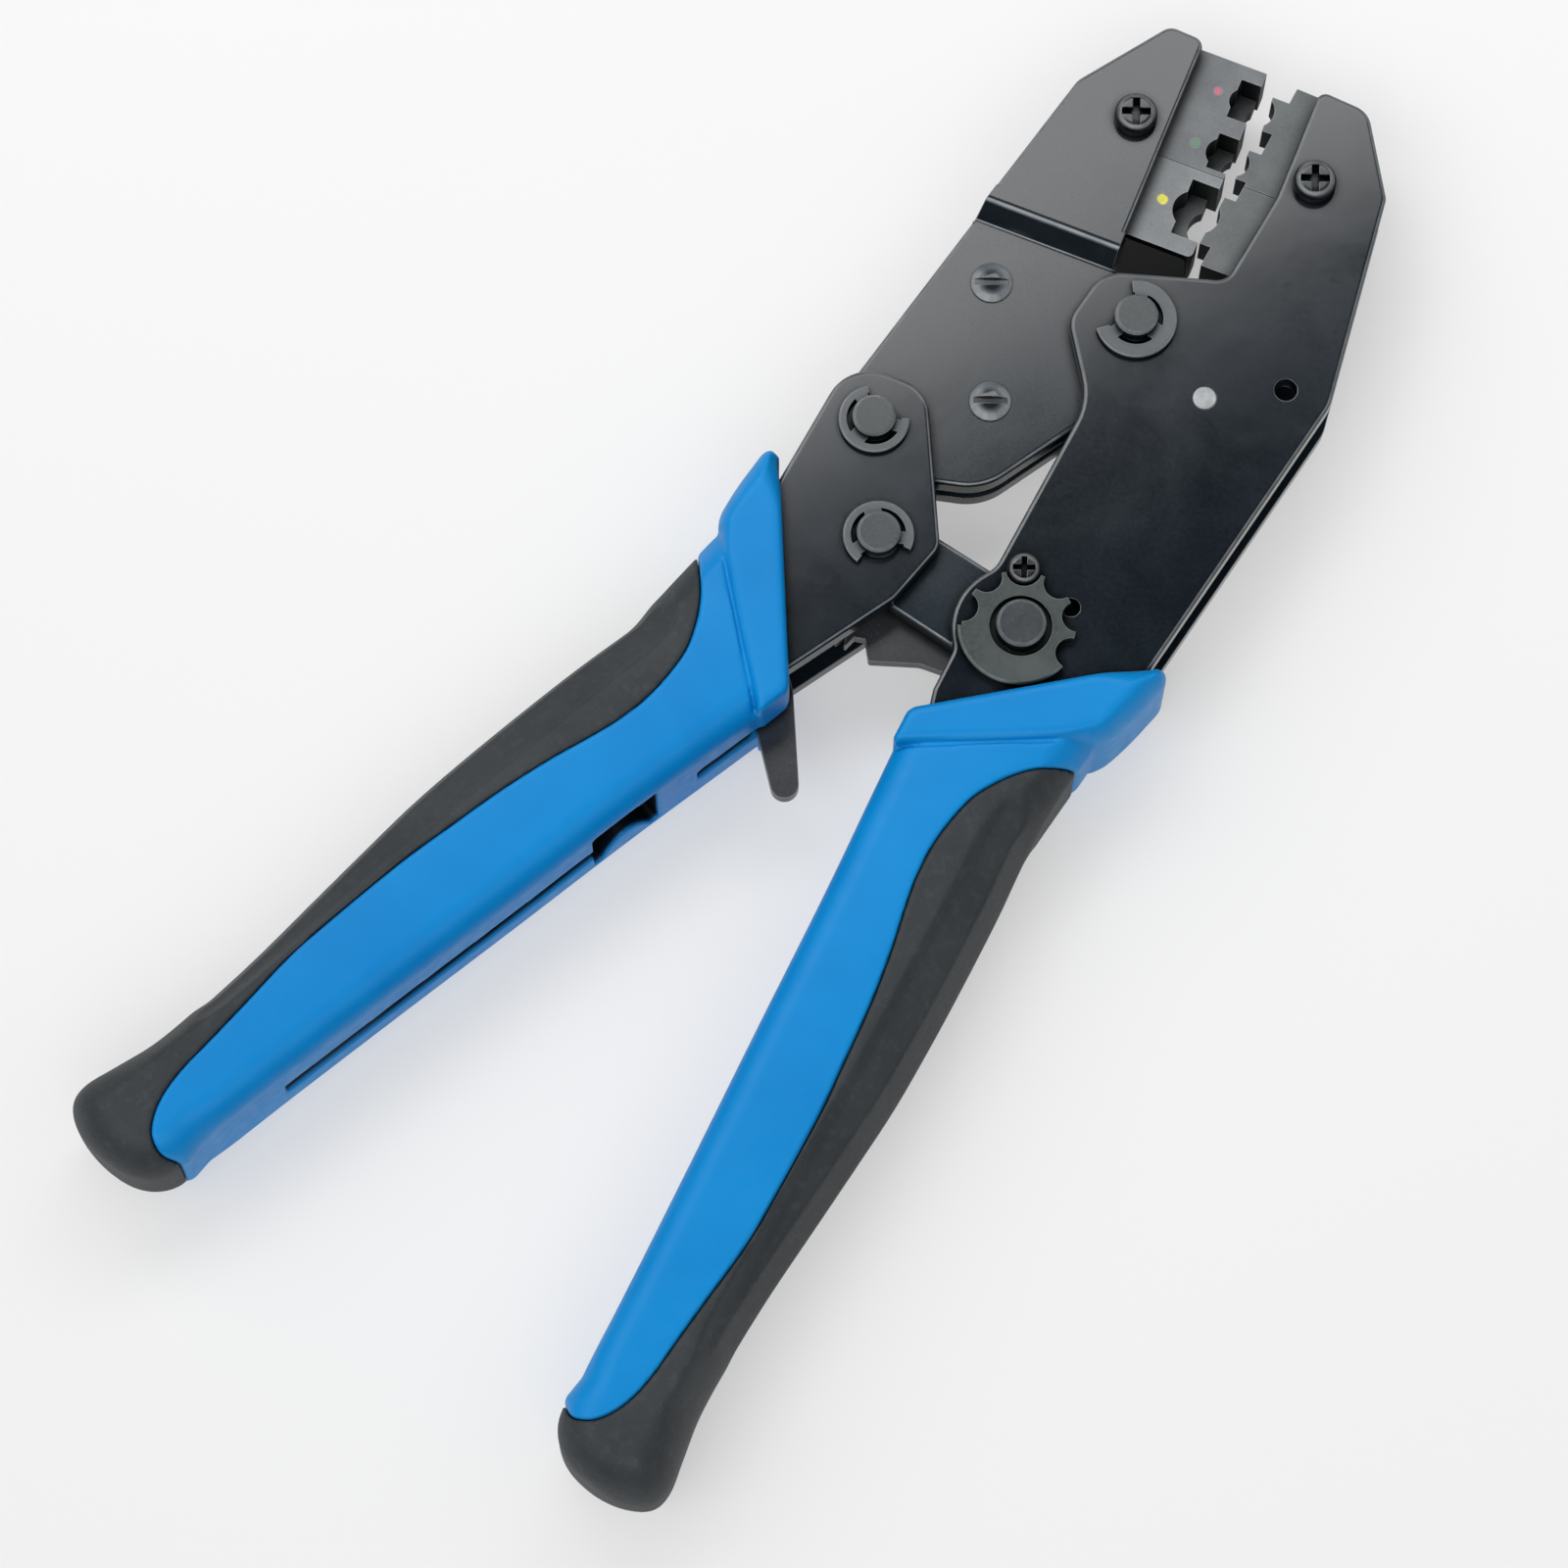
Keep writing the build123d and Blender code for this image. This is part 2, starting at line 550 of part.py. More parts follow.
def cross_screw(centre, head_r, head_high, shank_r, shank_end):
    """Pan-head screw with a cross recess, standing on the front plate."""
    head = Cylinder(head_r, head_high, align=(Align.CENTER, Align.CENTER, Align.MIN))
    head = fillet(head.faces().sort_by(Axis.Z)[-1].edges(), HEAD_DOME * head_r)
    arm = CROSS_WIDTH * head_r
    reach = CROSS_LENGTH * head_r
    recess = Rectangle(reach, arm) + Rectangle(arm, reach) + Circle(0.8 * arm)
    head -= slab(Rot(0, 0, CROSS_TURN) * recess, CROSS_FLOOR * head_high, head_high)
    screw = Pos(centre[0], centre[1], OUTER_HIGH) * head
    return screw + peg(centre, shank_r, shank_end, OUTER_HIGH)


BINDER_R = 2.0
BINDER_SHOULDER_R = 3.4
BINDER_HEAD_R = 2.9
BINDER_HEAD_HIGH = 1.0
BINDER_DOME = 0.8               # how far the rim of the head lies below its middle
SLOT_WIDTH = 0.9
SLOT_FLOOR = 0.45


def binder_head():
    """Low domed head with a slot across it."""
    dome_r = (BINDER_HEAD_R ** 2 + BINDER_DOME ** 2) / (2 * BINDER_DOME)
    head = Cylinder(
        BINDER_HEAD_R, BINDER_HEAD_HIGH, align=(Align.CENTER, Align.CENTER, Align.MIN)
    )
    head &= Pos(0, 0, BINDER_HEAD_HIGH - dome_r) * Sphere(dome_r)
    slot = Rectangle(3 * BINDER_HEAD_R, SLOT_WIDTH)
    return head - slab(Rot(0, 0, CROSS_TURN) * slot, SLOT_FLOOR, 2 * BINDER_HEAD_HIGH)


def binder_screws():
    """Slotted low-head screws whose shoulders hold the two jaw arms apart."""
    screws = []
    for centre in JAW_BINDERS:
        body = peg(centre, BINDER_R, -INNER_HIGH, INNER_HIGH)
        body += peg(centre, BINDER_SHOULDER_R, -INNER_LOW, INNER_LOW)
        head = Pos(centre[0], centre[1], INNER_HIGH) * binder_head()
        body += head
        body += mirrored(head)
        screws.append(body)
    return Compound(screws)


# ---- Springs ----
def wire_run(start, end, radius):
    """Straight piece of spring wire."""
    run = Line(start, end)
    return sweep(Plane(origin=run @ 0, z_dir=run % 0) * Circle(radius), path=run)


def torsion_spring(coil_r, wire_r, turns, start_angle, base, legs):
    """Coil about Z with two straight legs, given by the points where they end."""
    pitch = 2 * wire_r + 0.1
    height = turns * pitch
    coil = Pos(0, 0, base) * Rot(0, 0, start_angle) * Helix(pitch, height, coil_r)
    spring = sweep(Plane(origin=coil @ 0, z_dir=coil % 0) * Circle(wire_r), path=coil)
    for end, leg in ((coil @ 0, legs[0]), (coil @ 1, legs[1])):
        spring += wire_run(end, (leg[0], leg[1], end.Z), wire_r)
    return spring.solid()


MAIN_WIRE_R = 0.42
MAIN_COIL_R = 4.1


def opening_spring():
    """Torsion spring round the main pivot; its legs bear on the anchor pin and the jaw."""
    turns = 1.08
    coil_height = turns * (2 * MAIN_WIRE_R + 0.1)
    return torsion_spring(
        MAIN_COIL_R, MAIN_WIRE_R, turns, 66.0, -coil_height / 2,
        ((16.0, -6.7), (-25.0, 2.5)),
    )


def pawl_spring():
    """Small torsion spring round the pawl pin that returns the release lever."""
    spring = torsion_spring(
        2.1, 0.3, 2.41, 30.0, RATCHET_HALF + 0.5, ((7.8, -9.3), (-3.6, -18.0)),
    )
    return Pos(*PAWL_PIN) * spring


# ---- Tang spacers and rivets ----
RIVETS_ALONG = (62.0, 98.0)
RIVETS_ACROSS = -14.3
RIVET_R = 2.0


def tang_spacer(frame):
    """Filler block riveted between the two plates inside a grip."""
    block = outline(
        (38.0, -10.2, 1.5), (TANG_END - 1, -10.4, 1.5), (TANG_END - 1, -17.8, 1.5),
        (38.0, -19.0, 1.5),
    )
    spacer = slab(block, -OUTER_LOW, OUTER_LOW)
    for along in RIVETS_ALONG:
        spacer -= peg((along, RIVETS_ACROSS), RIVET_R, -OUTER_LOW, OUTER_LOW)
    return frame.location * spacer


def tang_rivets(frame):
    rivets = [peg((along, RIVETS_ACROSS), RIVET_R, -OUTER_HIGH, OUTER_HIGH) for along in RIVETS_ALONG]
    return Compound([frame.location * rivet for rivet in rivets])


def drill_tang(plate, frame):
    """Rivet holes in a plate, where it runs inside the grip."""
    for along in RIVETS_ALONG:
        hole = peg((along, RIVETS_ACROSS), RIVET_R, -OUTER_HIGH, OUTER_HIGH)
        plate -= frame.location * hole
    return plate


# ---- Grips ----
RUBBER_SKIN = 2.0               # thickness of the soft skin over the core
SLIT_HALF = 1.6                 # half heights of the openings along the inner side
WINDOW_HALF = 3.6
GROOVE_HALF = 0.9
POCKET_GAP = 0.1


def grip_plan(inset):
    """Plan of the whole grip behind the collar; inset shrinks its outer side and end."""
    outer = Spline(
        (16.0, -2.4 - inset), (32, -3.5 - inset), (58, -2.9 - inset), (84, -4.5 - inset),
        (108, -6.6 - inset), (122, -6.4 - inset), (129, -5.6 - inset),
    )
    heel = Spline(
        (129, -5.6 - inset), (GRIP_LENGTH - inset, -12.5), (127, -23.2 + inset / 2),
        tangents=((1, 0.05), (-1, -0.05)),
    )
    inner = Polyline((127, -23.2 + inset / 2), (120, -22.4), (28.2, -26.3), (16.0, -2.4 - inset))
    return make_face([outer, heel, inner])


def collar_plan():
    """Flared collar between the slanted mouth and the crease behind it."""
    return outline(
        (2.2, 2.4, 1.2), (7.5, 2.4, 3.0), (13.6, -1.4, 3.0), (16.2, -2.6, 0),
        (28.5, -26.4, 0), (22.4, -27.0, 1.5),
    )


def rubber_plan():
    """Outer strip and end of the grip, bounded by the curved seam with the hard core."""
    seam = Spline(
        (15.5, -1.5), (21.5, -8.6), (36, -14.5), (52, -13.0), (78, -10.6), (104, -11.7),
        (121, -14.0), (126.5, -18.0), (127.0, -24.5),
    )
    far_side = Polyline((127.0, -24.5), (150, -24.5), (150, 10), (15.5, 10), (15.5, -1.5))
    return make_face([seam, far_side]) & grip_plan(0)


def under_skin():
    """Part of the core that lies under the rubber."""
    return slab(grip_plan(RUBBER_SKIN), -GRIP_HALF + RUBBER_SKIN, GRIP_HALF - RUBBER_SKIN)


def soften(solid, radius):
    """Round the long edges of the front and back faces."""
    front = solid.faces().sort_by(Axis.Z)[-1].outer_wire().edges()
    solid = chamfer(front, radius)
    back = solid.faces().sort_by(Axis.Z)[0].outer_wire().edges()
    return chamfer(back, radius)


def grip_core(frame, plate_outline):
    """Hard shell of the grip: pocket for the tang, lever slit, window and long groove."""
    hard = grip_plan(0) - rubber_plan()
    core = slab(hard, -GRIP_HALF, GRIP_HALF) + under_skin()
    core += soften(slab(collar_plan(), -COLLAR_HALF, COLLAR_HALF), 1.0)
    slit = Pos(27, -24) * Rectangle(34, 14)
    core -= slab(slit, -SLIT_HALF, SLIT_HALF)
    window = Pos(50, -25) * Rectangle(10.5, 6.5)
    core -= slab(window, -WINDOW_HALF, WINDOW_HALF)
    groove = Pos(83, -25.2) * Rectangle(52, 5.0)
    core -= slab(groove, -GROOVE_HALF, GROOVE_HALF)
    core = frame.location * core
    half = OUTER_HIGH + POCKET_GAP
    pocket = slab(offset(plate_outline, POCKET_GAP), -half, half)
    core -= pocket
    return core.solids().sort_by(SortBy.VOLUME)[-1]


def grip_rubber(frame):
    """Soft skin over the outer side and the end of the grip."""
    skin = slab(rubber_plan(), -GRIP_HALF, GRIP_HALF) - under_skin()
    skin -= slab(collar_plan(), -GRIP_HALF, GRIP_HALF)
    return (frame.location * skin).solids().sort_by(SortBy.VOLUME)[-1]


# ---- Export ----
def place_in_row(shape):
    return Pos(PIVOT_X, PIVOT_Y, HALF_DEPTH) * shape


def save(node, shape):
    export_step(place_in_row(shape), f"parts/{node}.step")
    print(node)


def main():
    os.makedirs("parts", exist_ok=True)
    # fixed side
    save("fixed_front_plate", drill_tang(fixed_plate(1), FIXED_GRIP))
    save("fixed_rear_plate", drill_tang(fixed_plate(-1), FIXED_GRIP))
    save("fixed_upper_die", fixed_upper_die())
    save("fixed_lower_die", fixed_lower_die())
    save("fixed_die_screw", cross_screw(FIXED_DIE_SCREW, 3.0, 2.6, SCREW_R, -OUTER_HIGH))
    save("main_pivot_pin", lever_pin(MAIN_PIVOT, 5.2, HALF_DEPTH, PIN_END + 0.2))
    save("main_pivot_clip", e_clip(MAIN_PIVOT, 5.7, 167))
    save("adjuster_pin", adjuster_pin())
    save("adjuster_wheel", adjuster_wheel())
    save("adjuster_rear_clip", mirrored(e_clip(JOURNAL, 5.4, -90)))
    save("adjuster_lock_screw", cross_screw(LOCK_SCREW, 2.3, 2.3, LOCK_SHANK_R, OUTER_LOW))
    save("spring_anchor_pin", peg(ANCHOR_PIN, ANCHOR_R, -OUTER_HIGH, OUTER_HIGH))
    save("opening_spring", opening_spring())
    save("fixed_tang_spacer", tang_spacer(FIXED_GRIP))
    save("fixed_tang_rivets", tang_rivets(FIXED_GRIP))
    save("fixed_grip_core", grip_core(FIXED_GRIP, fixed_plate_outline()))
    save("fixed_grip_rubber", grip_rubber(FIXED_GRIP))
    # moving jaw
    save("jaw_front_plate", jaw_plate(1))
    save("jaw_rear_plate", jaw_plate(-1))
    save("jaw_upper_die", jaw_upper_die())
    save("jaw_lower_die", jaw_lower_die())
    save("jaw_die_screw", cross_screw(JAW_DIE_SCREW, 3.0, 2.6, SCREW_R, -OUTER_HIGH))
    save("jaw_binder_screws", binder_screws())
    save("size_dot_red", size_dot(DOT_RED))
    save("size_dot_green", size_dot(DOT_GREEN))
    save("size_dot_yellow", size_dot(DOT_YELLOW))
    # toggle
    save("toggle_front_link", toggle_link(1))
    save("toggle_rear_link", toggle_link(-1))
    save("ratchet_sector", ratchet_sector())
    # moving handle
    save("handle_front_plate", drill_tang(handle_plate(1), MOVING_GRIP))
    save("handle_rear_plate", drill_tang(handle_plate(-1), MOVING_GRIP))
    save("jaw_link_pin", lever_pin(JAW_PIN, 4.6, HEAD_LOW, PIN_END))
    save("jaw_link_clip", e_clip(JAW_PIN, 4.9, 72))
    save("toggle_pin", lever_pin(TOGGLE_PIN, 4.6, HEAD_LOW, PIN_END))
    save("toggle_clip", e_clip(TOGGLE_PIN, 4.9, -55))
    save("pawl_pin", peg(PAWL_PIN, PAWL_PIN_R, -OUTER_HIGH, OUTER_HIGH))
    save("moving_tang_spacer", tang_spacer(MOVING_GRIP))
    save("moving_tang_rivets", tang_rivets(MOVING_GRIP))
    save("moving_grip_core", grip_core(MOVING_GRIP, handle_outline()))
    save("moving_grip_rubber", grip_rubber(MOVING_GRIP))
    # release lever
    save("ratchet_pawl", ratchet_pawl())
    save("pawl_spring", pawl_spring())


if __name__ == "__main__":
    main()
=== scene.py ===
import math

import bpy
import numpy as np
from mathutils import Matrix, Vector


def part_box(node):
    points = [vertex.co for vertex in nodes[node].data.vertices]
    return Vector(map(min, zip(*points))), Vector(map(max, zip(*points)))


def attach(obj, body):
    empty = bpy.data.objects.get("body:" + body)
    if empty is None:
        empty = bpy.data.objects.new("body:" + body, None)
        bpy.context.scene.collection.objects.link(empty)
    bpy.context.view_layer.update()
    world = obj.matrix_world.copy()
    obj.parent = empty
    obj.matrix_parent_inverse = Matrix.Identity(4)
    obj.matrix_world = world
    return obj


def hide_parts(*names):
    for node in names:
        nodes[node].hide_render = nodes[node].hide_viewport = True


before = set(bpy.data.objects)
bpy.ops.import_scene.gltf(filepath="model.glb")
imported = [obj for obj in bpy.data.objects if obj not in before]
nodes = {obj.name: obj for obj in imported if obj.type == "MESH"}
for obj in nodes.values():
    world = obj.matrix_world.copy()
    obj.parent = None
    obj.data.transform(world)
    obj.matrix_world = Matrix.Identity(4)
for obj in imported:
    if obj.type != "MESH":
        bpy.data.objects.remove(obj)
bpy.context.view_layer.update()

MM = 0.001
HALF_DEPTH = 10.8                       # mm, mid-plane above the floor
PIVOT = (32.074, 67.035)                # mm, main pivot in the row frame
INNER_PLATE_TOP = (4.5, 4.7)            # mm from the mid-plane, where the inner plates' level ends
SHADE_PATCH_FADE = 0.4                       # mm, soft edge of the patch of painted shade

# ---- Shader helpers ----


class Shader:
    """A node material on object coordinates, so that it stays put on a moving part."""

    def __init__(self, name):
        self.material = bpy.data.materials.new(name)
        self.material.use_nodes = True
        self.tree = self.material.node_tree
        self.tree.nodes.clear()
        self.output = self.node("OutputMaterial")
        self.bsdf = self.node("BsdfPrincipled")
        self.link(self.bsdf.outputs[0], self.output.inputs[0])
        self.place = self.node("TexCoord").outputs["Object"]

    def node(self, kind, **settings):
        made = self.tree.nodes.new("ShaderNode" + kind)
        for key, value in settings.items():
            setattr(made, key, value)
        return made

    def link(self, source, target):
        self.tree.links.new(source, target)

    def put(self, socket, value):
        if isinstance(value, bpy.types.NodeSocket):
            self.link(value, socket)
        else:
            socket.default_value = value

    def set(self, **values):
        for key, value in values.items():
            self.put(self.bsdf.inputs[key.replace("_", " ")], value)

    def noise(self, per_mm, detail=3.0, rough=0.55, stretch=None, warp=0.0):
        """Noise with about per_mm waves in a millimetre, from 0 to 1 round 0.5."""
        place = self.place
        if stretch:
            mapping = self.node("Mapping")
            mapping.inputs["Scale"].default_value = stretch[:3]
            mapping.inputs["Rotation"].default_value[2] = math.radians(stretch[3])
            self.link(place, mapping.inputs["Vector"])
            place = mapping.outputs[0]
        made = self.node("TexNoise")
        self.link(place, made.inputs["Vector"])
        made.inputs["Scale"].default_value = per_mm / MM
        made.inputs["Detail"].default_value = detail
        made.inputs["Roughness"].default_value = rough
        made.inputs["Distortion"].default_value = warp
        return made.outputs["Fac"]

    def remap(self, value, low, high, out_low=0.0, out_high=1.0):
        made = self.node("MapRange")
        for key, number in (("From Min", low), ("From Max", high), ("To Min", out_low),
                            ("To Max", out_high)):
            made.inputs[key].default_value = number
        self.link(value, made.inputs["Value"])
        return made.outputs["Result"]

    def math(self, operation, a, b=0.0):
        made = self.node("Math", operation=operation)
        self.put(made.inputs[0], a)
        self.put(made.inputs[1], b)
        return made.outputs[0]

    def mix(self, factor, a, b):
        made = self.node("Mix", data_type="RGBA")
        self.put(made.inputs["Factor"], factor)
        for socket, value in ((made.inputs["A"], a), (made.inputs["B"], b)):
            self.put(socket, (*value, 1.0) if isinstance(value, tuple) else value)
        return made.outputs["Result"]

    def edges(self, radius_mm, low, high):
        """1 on outside edges, fading to 0 on faces, from how far a bevel bends the normal."""
        bevel = self.node("Bevel", samples=6)
        bevel.inputs["Radius"].default_value = radius_mm * MM
        geometry = self.node("NewGeometry")
        dot = self.node("VectorMath", operation="DOT_PRODUCT")
        self.link(bevel.outputs[0], dot.inputs[0])
        self.link(geometry.outputs["Normal"], dot.inputs[1])
        return self.remap(dot.outputs["Value"], high, low)

    def occlusion_shade(self, reach_mm, low, high):
        """Mask for painted shade: 1 deep in a recess or beside a taller piece, fading to 0 in the
        open.
        """
        made = self.node("AmbientOcclusion", samples=6)
        made.inputs["Distance"].default_value = reach_mm * MM
        return self.remap(made.outputs["AO"], high, low)

    def inner_level(self):
        """1 at the level of the inner plates, 0 at the level of the outer ones."""
        split = self.node("SeparateXYZ")
        self.link(self.place, split.inputs[0])
        height = self.math("ABSOLUTE", self.math("SUBTRACT", split.outputs["Z"], HALF_DEPTH * MM))
        low, high = (v * MM for v in INNER_PLATE_TOP)
        return self.remap(height, low, high, 1.0, 0.0)

    def flatness(self):
        """1 on faces square to the plates' pins, 0 on the side walls, in the part's own frame."""
        split = self.node("SeparateXYZ")
        self.link(self.node("TexCoord").outputs["Normal"], split.inputs[0])
        return self.math("ABSOLUTE", split.outputs["Z"])

    def bump(self, layers, round_mm=None):
        """Bumps from (height, strength, depth in mm), over an edge rounded by round_mm."""
        normal = None
        if round_mm:
            bevel = self.node("Bevel", samples=6)
            bevel.inputs["Radius"].default_value = round_mm * MM
            normal = bevel.outputs[0]
        for height, strength, depth in layers:
            made = self.node("Bump")
            made.inputs["Strength"].default_value = strength
            made.inputs["Distance"].default_value = depth * MM
            self.link(height, made.inputs["Height"])
            if normal:
                self.link(normal, made.inputs["Normal"])
            normal = made.outputs[0]
        self.link(normal, self.bsdf.inputs["Normal"])


def srgb(r, g, b):
    """Linear colour of an 8-bit screen colour."""
    return tuple((v / 255 / 12.92) if v <= 10 else ((v / 255 + 0.055) / 1.055) ** 2.4
                 for v in (r, g, b))


# ---- Materials ----


def oxide(name, dark, light, edge, rough=(0.10, 0.17), rim=0.75, shade_corner=None):
    """Black-oxide steel: cloudy tone, fine grain, paler rolled edges that are partly wear and
    partly a painted highlight, side walls painted darker as shade, and painted shade in
    recesses and beside taller pieces.

    The last argument is the corner, in mm from the main pivot, past which the inner level
    is painted black as shade.
    """
    s = Shader(name)
    cloud = s.noise(0.05, 3, 0.6, warp=0.6)
    fine = s.noise(1.6, 5, 0.62)
    speck = s.noise(4.5, 2, 0.5)
    tone = s.math("ADD", s.math("MULTIPLY", cloud, 0.65), s.math("MULTIPLY", fine, 0.35))
    base = s.mix(s.remap(tone, 0.38, 0.62), dark, light)
    flat = s.flatness()
    # painted shade: the side walls are darkened to a third of the dark tone, and their reflection
    # is dulled below
    base = s.mix(s.remap(flat, 0.35, 0.68), tuple(0.35 * v for v in dark), base)
    # the rolled and outer edges turn paler: partly wear, partly a painted highlight
    rolled = s.math("MULTIPLY", s.remap(flat, 0.64, 0.74), s.remap(flat, 0.93, 0.98, 1.0, 0.0))
    wear_and_highlight = s.math("MAXIMUM", s.edges(0.30, 0.80, 0.985), rolled)
    patchy = s.math("MULTIPLY", wear_and_highlight, s.remap(s.noise(0.35, 4, 0.6), 0.35, 0.6, rim - 0.3, rim))
    scratch = s.noise(0.9, 2, 0.5, stretch=(1.0, 0.03, 1.0, 31))
    marks = s.remap(scratch, 0.72, 0.80, 0.0, 0.05)
    # painted shade: black in recesses and beside taller pieces, which also dulls the reflection
    painted_shade = s.occlusion_shade(1.8, 0.40, 0.85)
    # painted shade: past the corner, the jaw's inner level is painted black
    if shade_corner:
        split = s.node("SeparateXYZ")
        s.link(s.place, split.inputs[0])
        start = [(v + p) * MM for v, p in zip(shade_corner, PIVOT)]
        fade = SHADE_PATCH_FADE * MM
        past = [s.remap(split.outputs[i], start[i] - fade, start[i] + fade) for i in (0, 1)]
        shade_patch = s.math("MULTIPLY", s.inner_level(), s.math("MULTIPLY", *past))
        painted_shade = s.math("MAXIMUM", painted_shade, shade_patch)
    base = s.mix(s.math("MAXIMUM", patchy, marks), base, edge)
    gloss = s.math("MULTIPLY", s.remap(painted_shade, 0.0, 1.0, 0.5, 0.05),
                   s.remap(flat, 0.3, 0.6, 0.45, 1.0))
    s.set(Base_Color=s.mix(painted_shade, base, srgb(5, 6, 8)), Roughness=s.remap(tone, 0.3, 0.7, *rough),
          IOR=1.6, Specular_IOR_Level=gloss)
    s.bump([(cloud, 0.18, 0.08), (fine, 0.05, 0.006), (speck, 0.06, 0.003)], 0.22)
    return s.material


def machined(name, dark, light, edge, along):
    """Ground steel with tool marks along an angle in degrees, small pits, dark walls, paler edges
    that are partly wear and partly a painted highlight, and painted shade in recesses.
    """
    s = Shader(name)
    lines = s.noise(2.2, 4, 0.65, stretch=(1.0, 0.05, 1.0, along))
    pits = s.noise(2.6, 3, 0.7)
    cloud = s.noise(0.16, 3, 0.6)
    tone = s.math("ADD", s.math("MULTIPLY", pits, 0.5), s.math("MULTIPLY", cloud, 0.5))
    base = s.mix(s.remap(tone, 0.36, 0.64), dark, light)
    ground = s.remap(s.flatness(), 0.4, 0.8)
    base = s.mix(ground, srgb(16, 18, 20), base)
    # paler edges: partly wear, partly a painted highlight
    wear_and_highlight = s.math("MULTIPLY", s.edges(0.25, 0.80, 0.985),
                  s.remap(cloud, 0.3, 0.6, 0.3, 0.9))
    # painted shade: near black in recesses and beside taller pieces
    painted_shade = s.occlusion_shade(2.5, 0.35, 0.85)
    base = s.mix(painted_shade, s.mix(wear_and_highlight, base, edge), srgb(8, 9, 10))
    s.set(Base_Color=base, Metallic=s.math("MULTIPLY", ground, 0.35),
          Specular_IOR_Level=s.remap(ground, 0.0, 1.0, 0.08, 0.5),
          Roughness=s.remap(pits, 0.3, 0.7, 0.42, 0.58))
    s.bump([(lines, 0.35, 0.01), (pits, 0.35, 0.014)], 0.12)
    return s.material


def bright(name, tint, rough):
    """Plain steel with turning marks."""
    s = Shader(name)
    lines = s.noise(3.0, 3, 0.6, stretch=(1.0, 1.0, 0.2, 0))
    cloud = s.noise(0.5, 3, 0.6)
    low = tuple(0.72 * v for v in tint)
    s.set(Base_Color=s.mix(s.remap(cloud, 0.35, 0.65), low, tint), Metallic=1.0,
          Roughness=s.remap(lines, 0.3, 0.7, rough - 0.06, rough + 0.08))
    s.bump([(lines, 0.2, 0.01)], 0.1)
    return s.material


def plastic(name):
    """Moulded blue plastic: spark-eroded texture, faint flow clouds, paler edges that are partly
    rubbed wear and partly a painted highlight, and painted shade on the walls of openings.
    """
    s = Shader(name)
    flow = s.noise(0.03, 3, 0.55, warp=0.8)
    texture = s.noise(3.2, 3, 0.6)
    soft = s.noise(0.5, 3, 0.5)
    base = s.mix(s.remap(flow, 0.35, 0.65), srgb(0, 128, 200), srgb(0, 136, 208))
    # paler edges: partly rubbed wear, partly a painted highlight
    rubbed_and_highlit = s.math("MULTIPLY", s.edges(0.5, 0.86, 0.99), s.remap(soft, 0.3, 0.65, 0.05, 0.4))
    base = s.mix(rubbed_and_highlit, base, srgb(96, 170, 226))
    # painted shade: the walls of openings and deep recesses turn dark navy
    recess_shade = s.node("Attribute", attribute_name="recess_shade").outputs["Fac"]
    s.set(Base_Color=s.mix(recess_shade, base, srgb(6, 14, 22)), Specular_IOR_Level=0.22,
          Roughness=s.remap(soft, 0.3, 0.7, 0.38, 0.50))
    s.bump([(soft, 0.12, 0.03), (texture, 0.45, 0.012)])
    return s.material


def rubber(name):
    """Soft black rubber with a fine matt texture and dust in the low spots."""
    s = Shader(name)
    texture = s.noise(3.8, 4, 0.65)
    cloud = s.noise(0.06, 3, 0.6, warp=0.5)
    dust = s.noise(0.7, 4, 0.6)
    base = s.mix(s.remap(cloud, 0.35, 0.65), srgb(33, 39, 43), srgb(44, 50, 54))
    base = s.mix(s.remap(dust, 0.52, 0.74, 0.0, 0.25), base, srgb(76, 80, 83))
    s.set(Base_Color=base, Roughness=s.remap(texture, 0.3, 0.7, 0.55, 0.72))
    s.bump([(dust, 0.15, 0.03), (texture, 0.55, 0.015)])
    return s.material


PAINT_WOBBLE = 0.22                      # mm, how unevenly the paint's edge runs
PAINT_FADE = 0.12                        # of the mark's radius, its soft edge


def paint(name, node, colour, ring):
    """Enamel in a punched mark; a ring mark keeps bare metal in its middle."""
    s = Shader(name)
    low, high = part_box(node)
    middle = (low + high) / 2
    radius = (high.x - low.x) / 2
    flat = s.node("VectorMath", operation="MULTIPLY")
    s.link(s.place, flat.inputs[0])
    flat.inputs[1].default_value = (1, 1, 0)
    far = s.node("VectorMath", operation="DISTANCE")
    s.link(flat.outputs[0], far.inputs[0])
    far.inputs[1].default_value = (middle.x, middle.y, 0)
    uneven = s.remap(s.noise(1.4, 3), 0.0, 1.0, -PAINT_WOBBLE * MM, PAINT_WOBBLE * MM)
    wobble = s.math("ADD", far.outputs["Value"], uneven)
    inner, outer = ring
    filled = s.remap(wobble, radius * outer, radius * (outer + PAINT_FADE), 1.0, 0.0)
    if inner > 0:
        bare = s.remap(wobble, radius * inner, radius * (inner + PAINT_FADE))
        filled = s.math("MULTIPLY", bare, filled)
    thin = s.remap(s.noise(2.0, 3), 0.35, 0.65, 0.75, 1.0)
    s.set(Base_Color=s.mix(s.math("MULTIPLY", filled, thin), srgb(112, 114, 114), colour),
          Roughness=s.remap(s.noise(2.5, 2), 0.3, 0.7, 0.28, 0.42))
    s.bump([(s.noise(2.5, 3), 0.3, 0.02)])
    return s.material


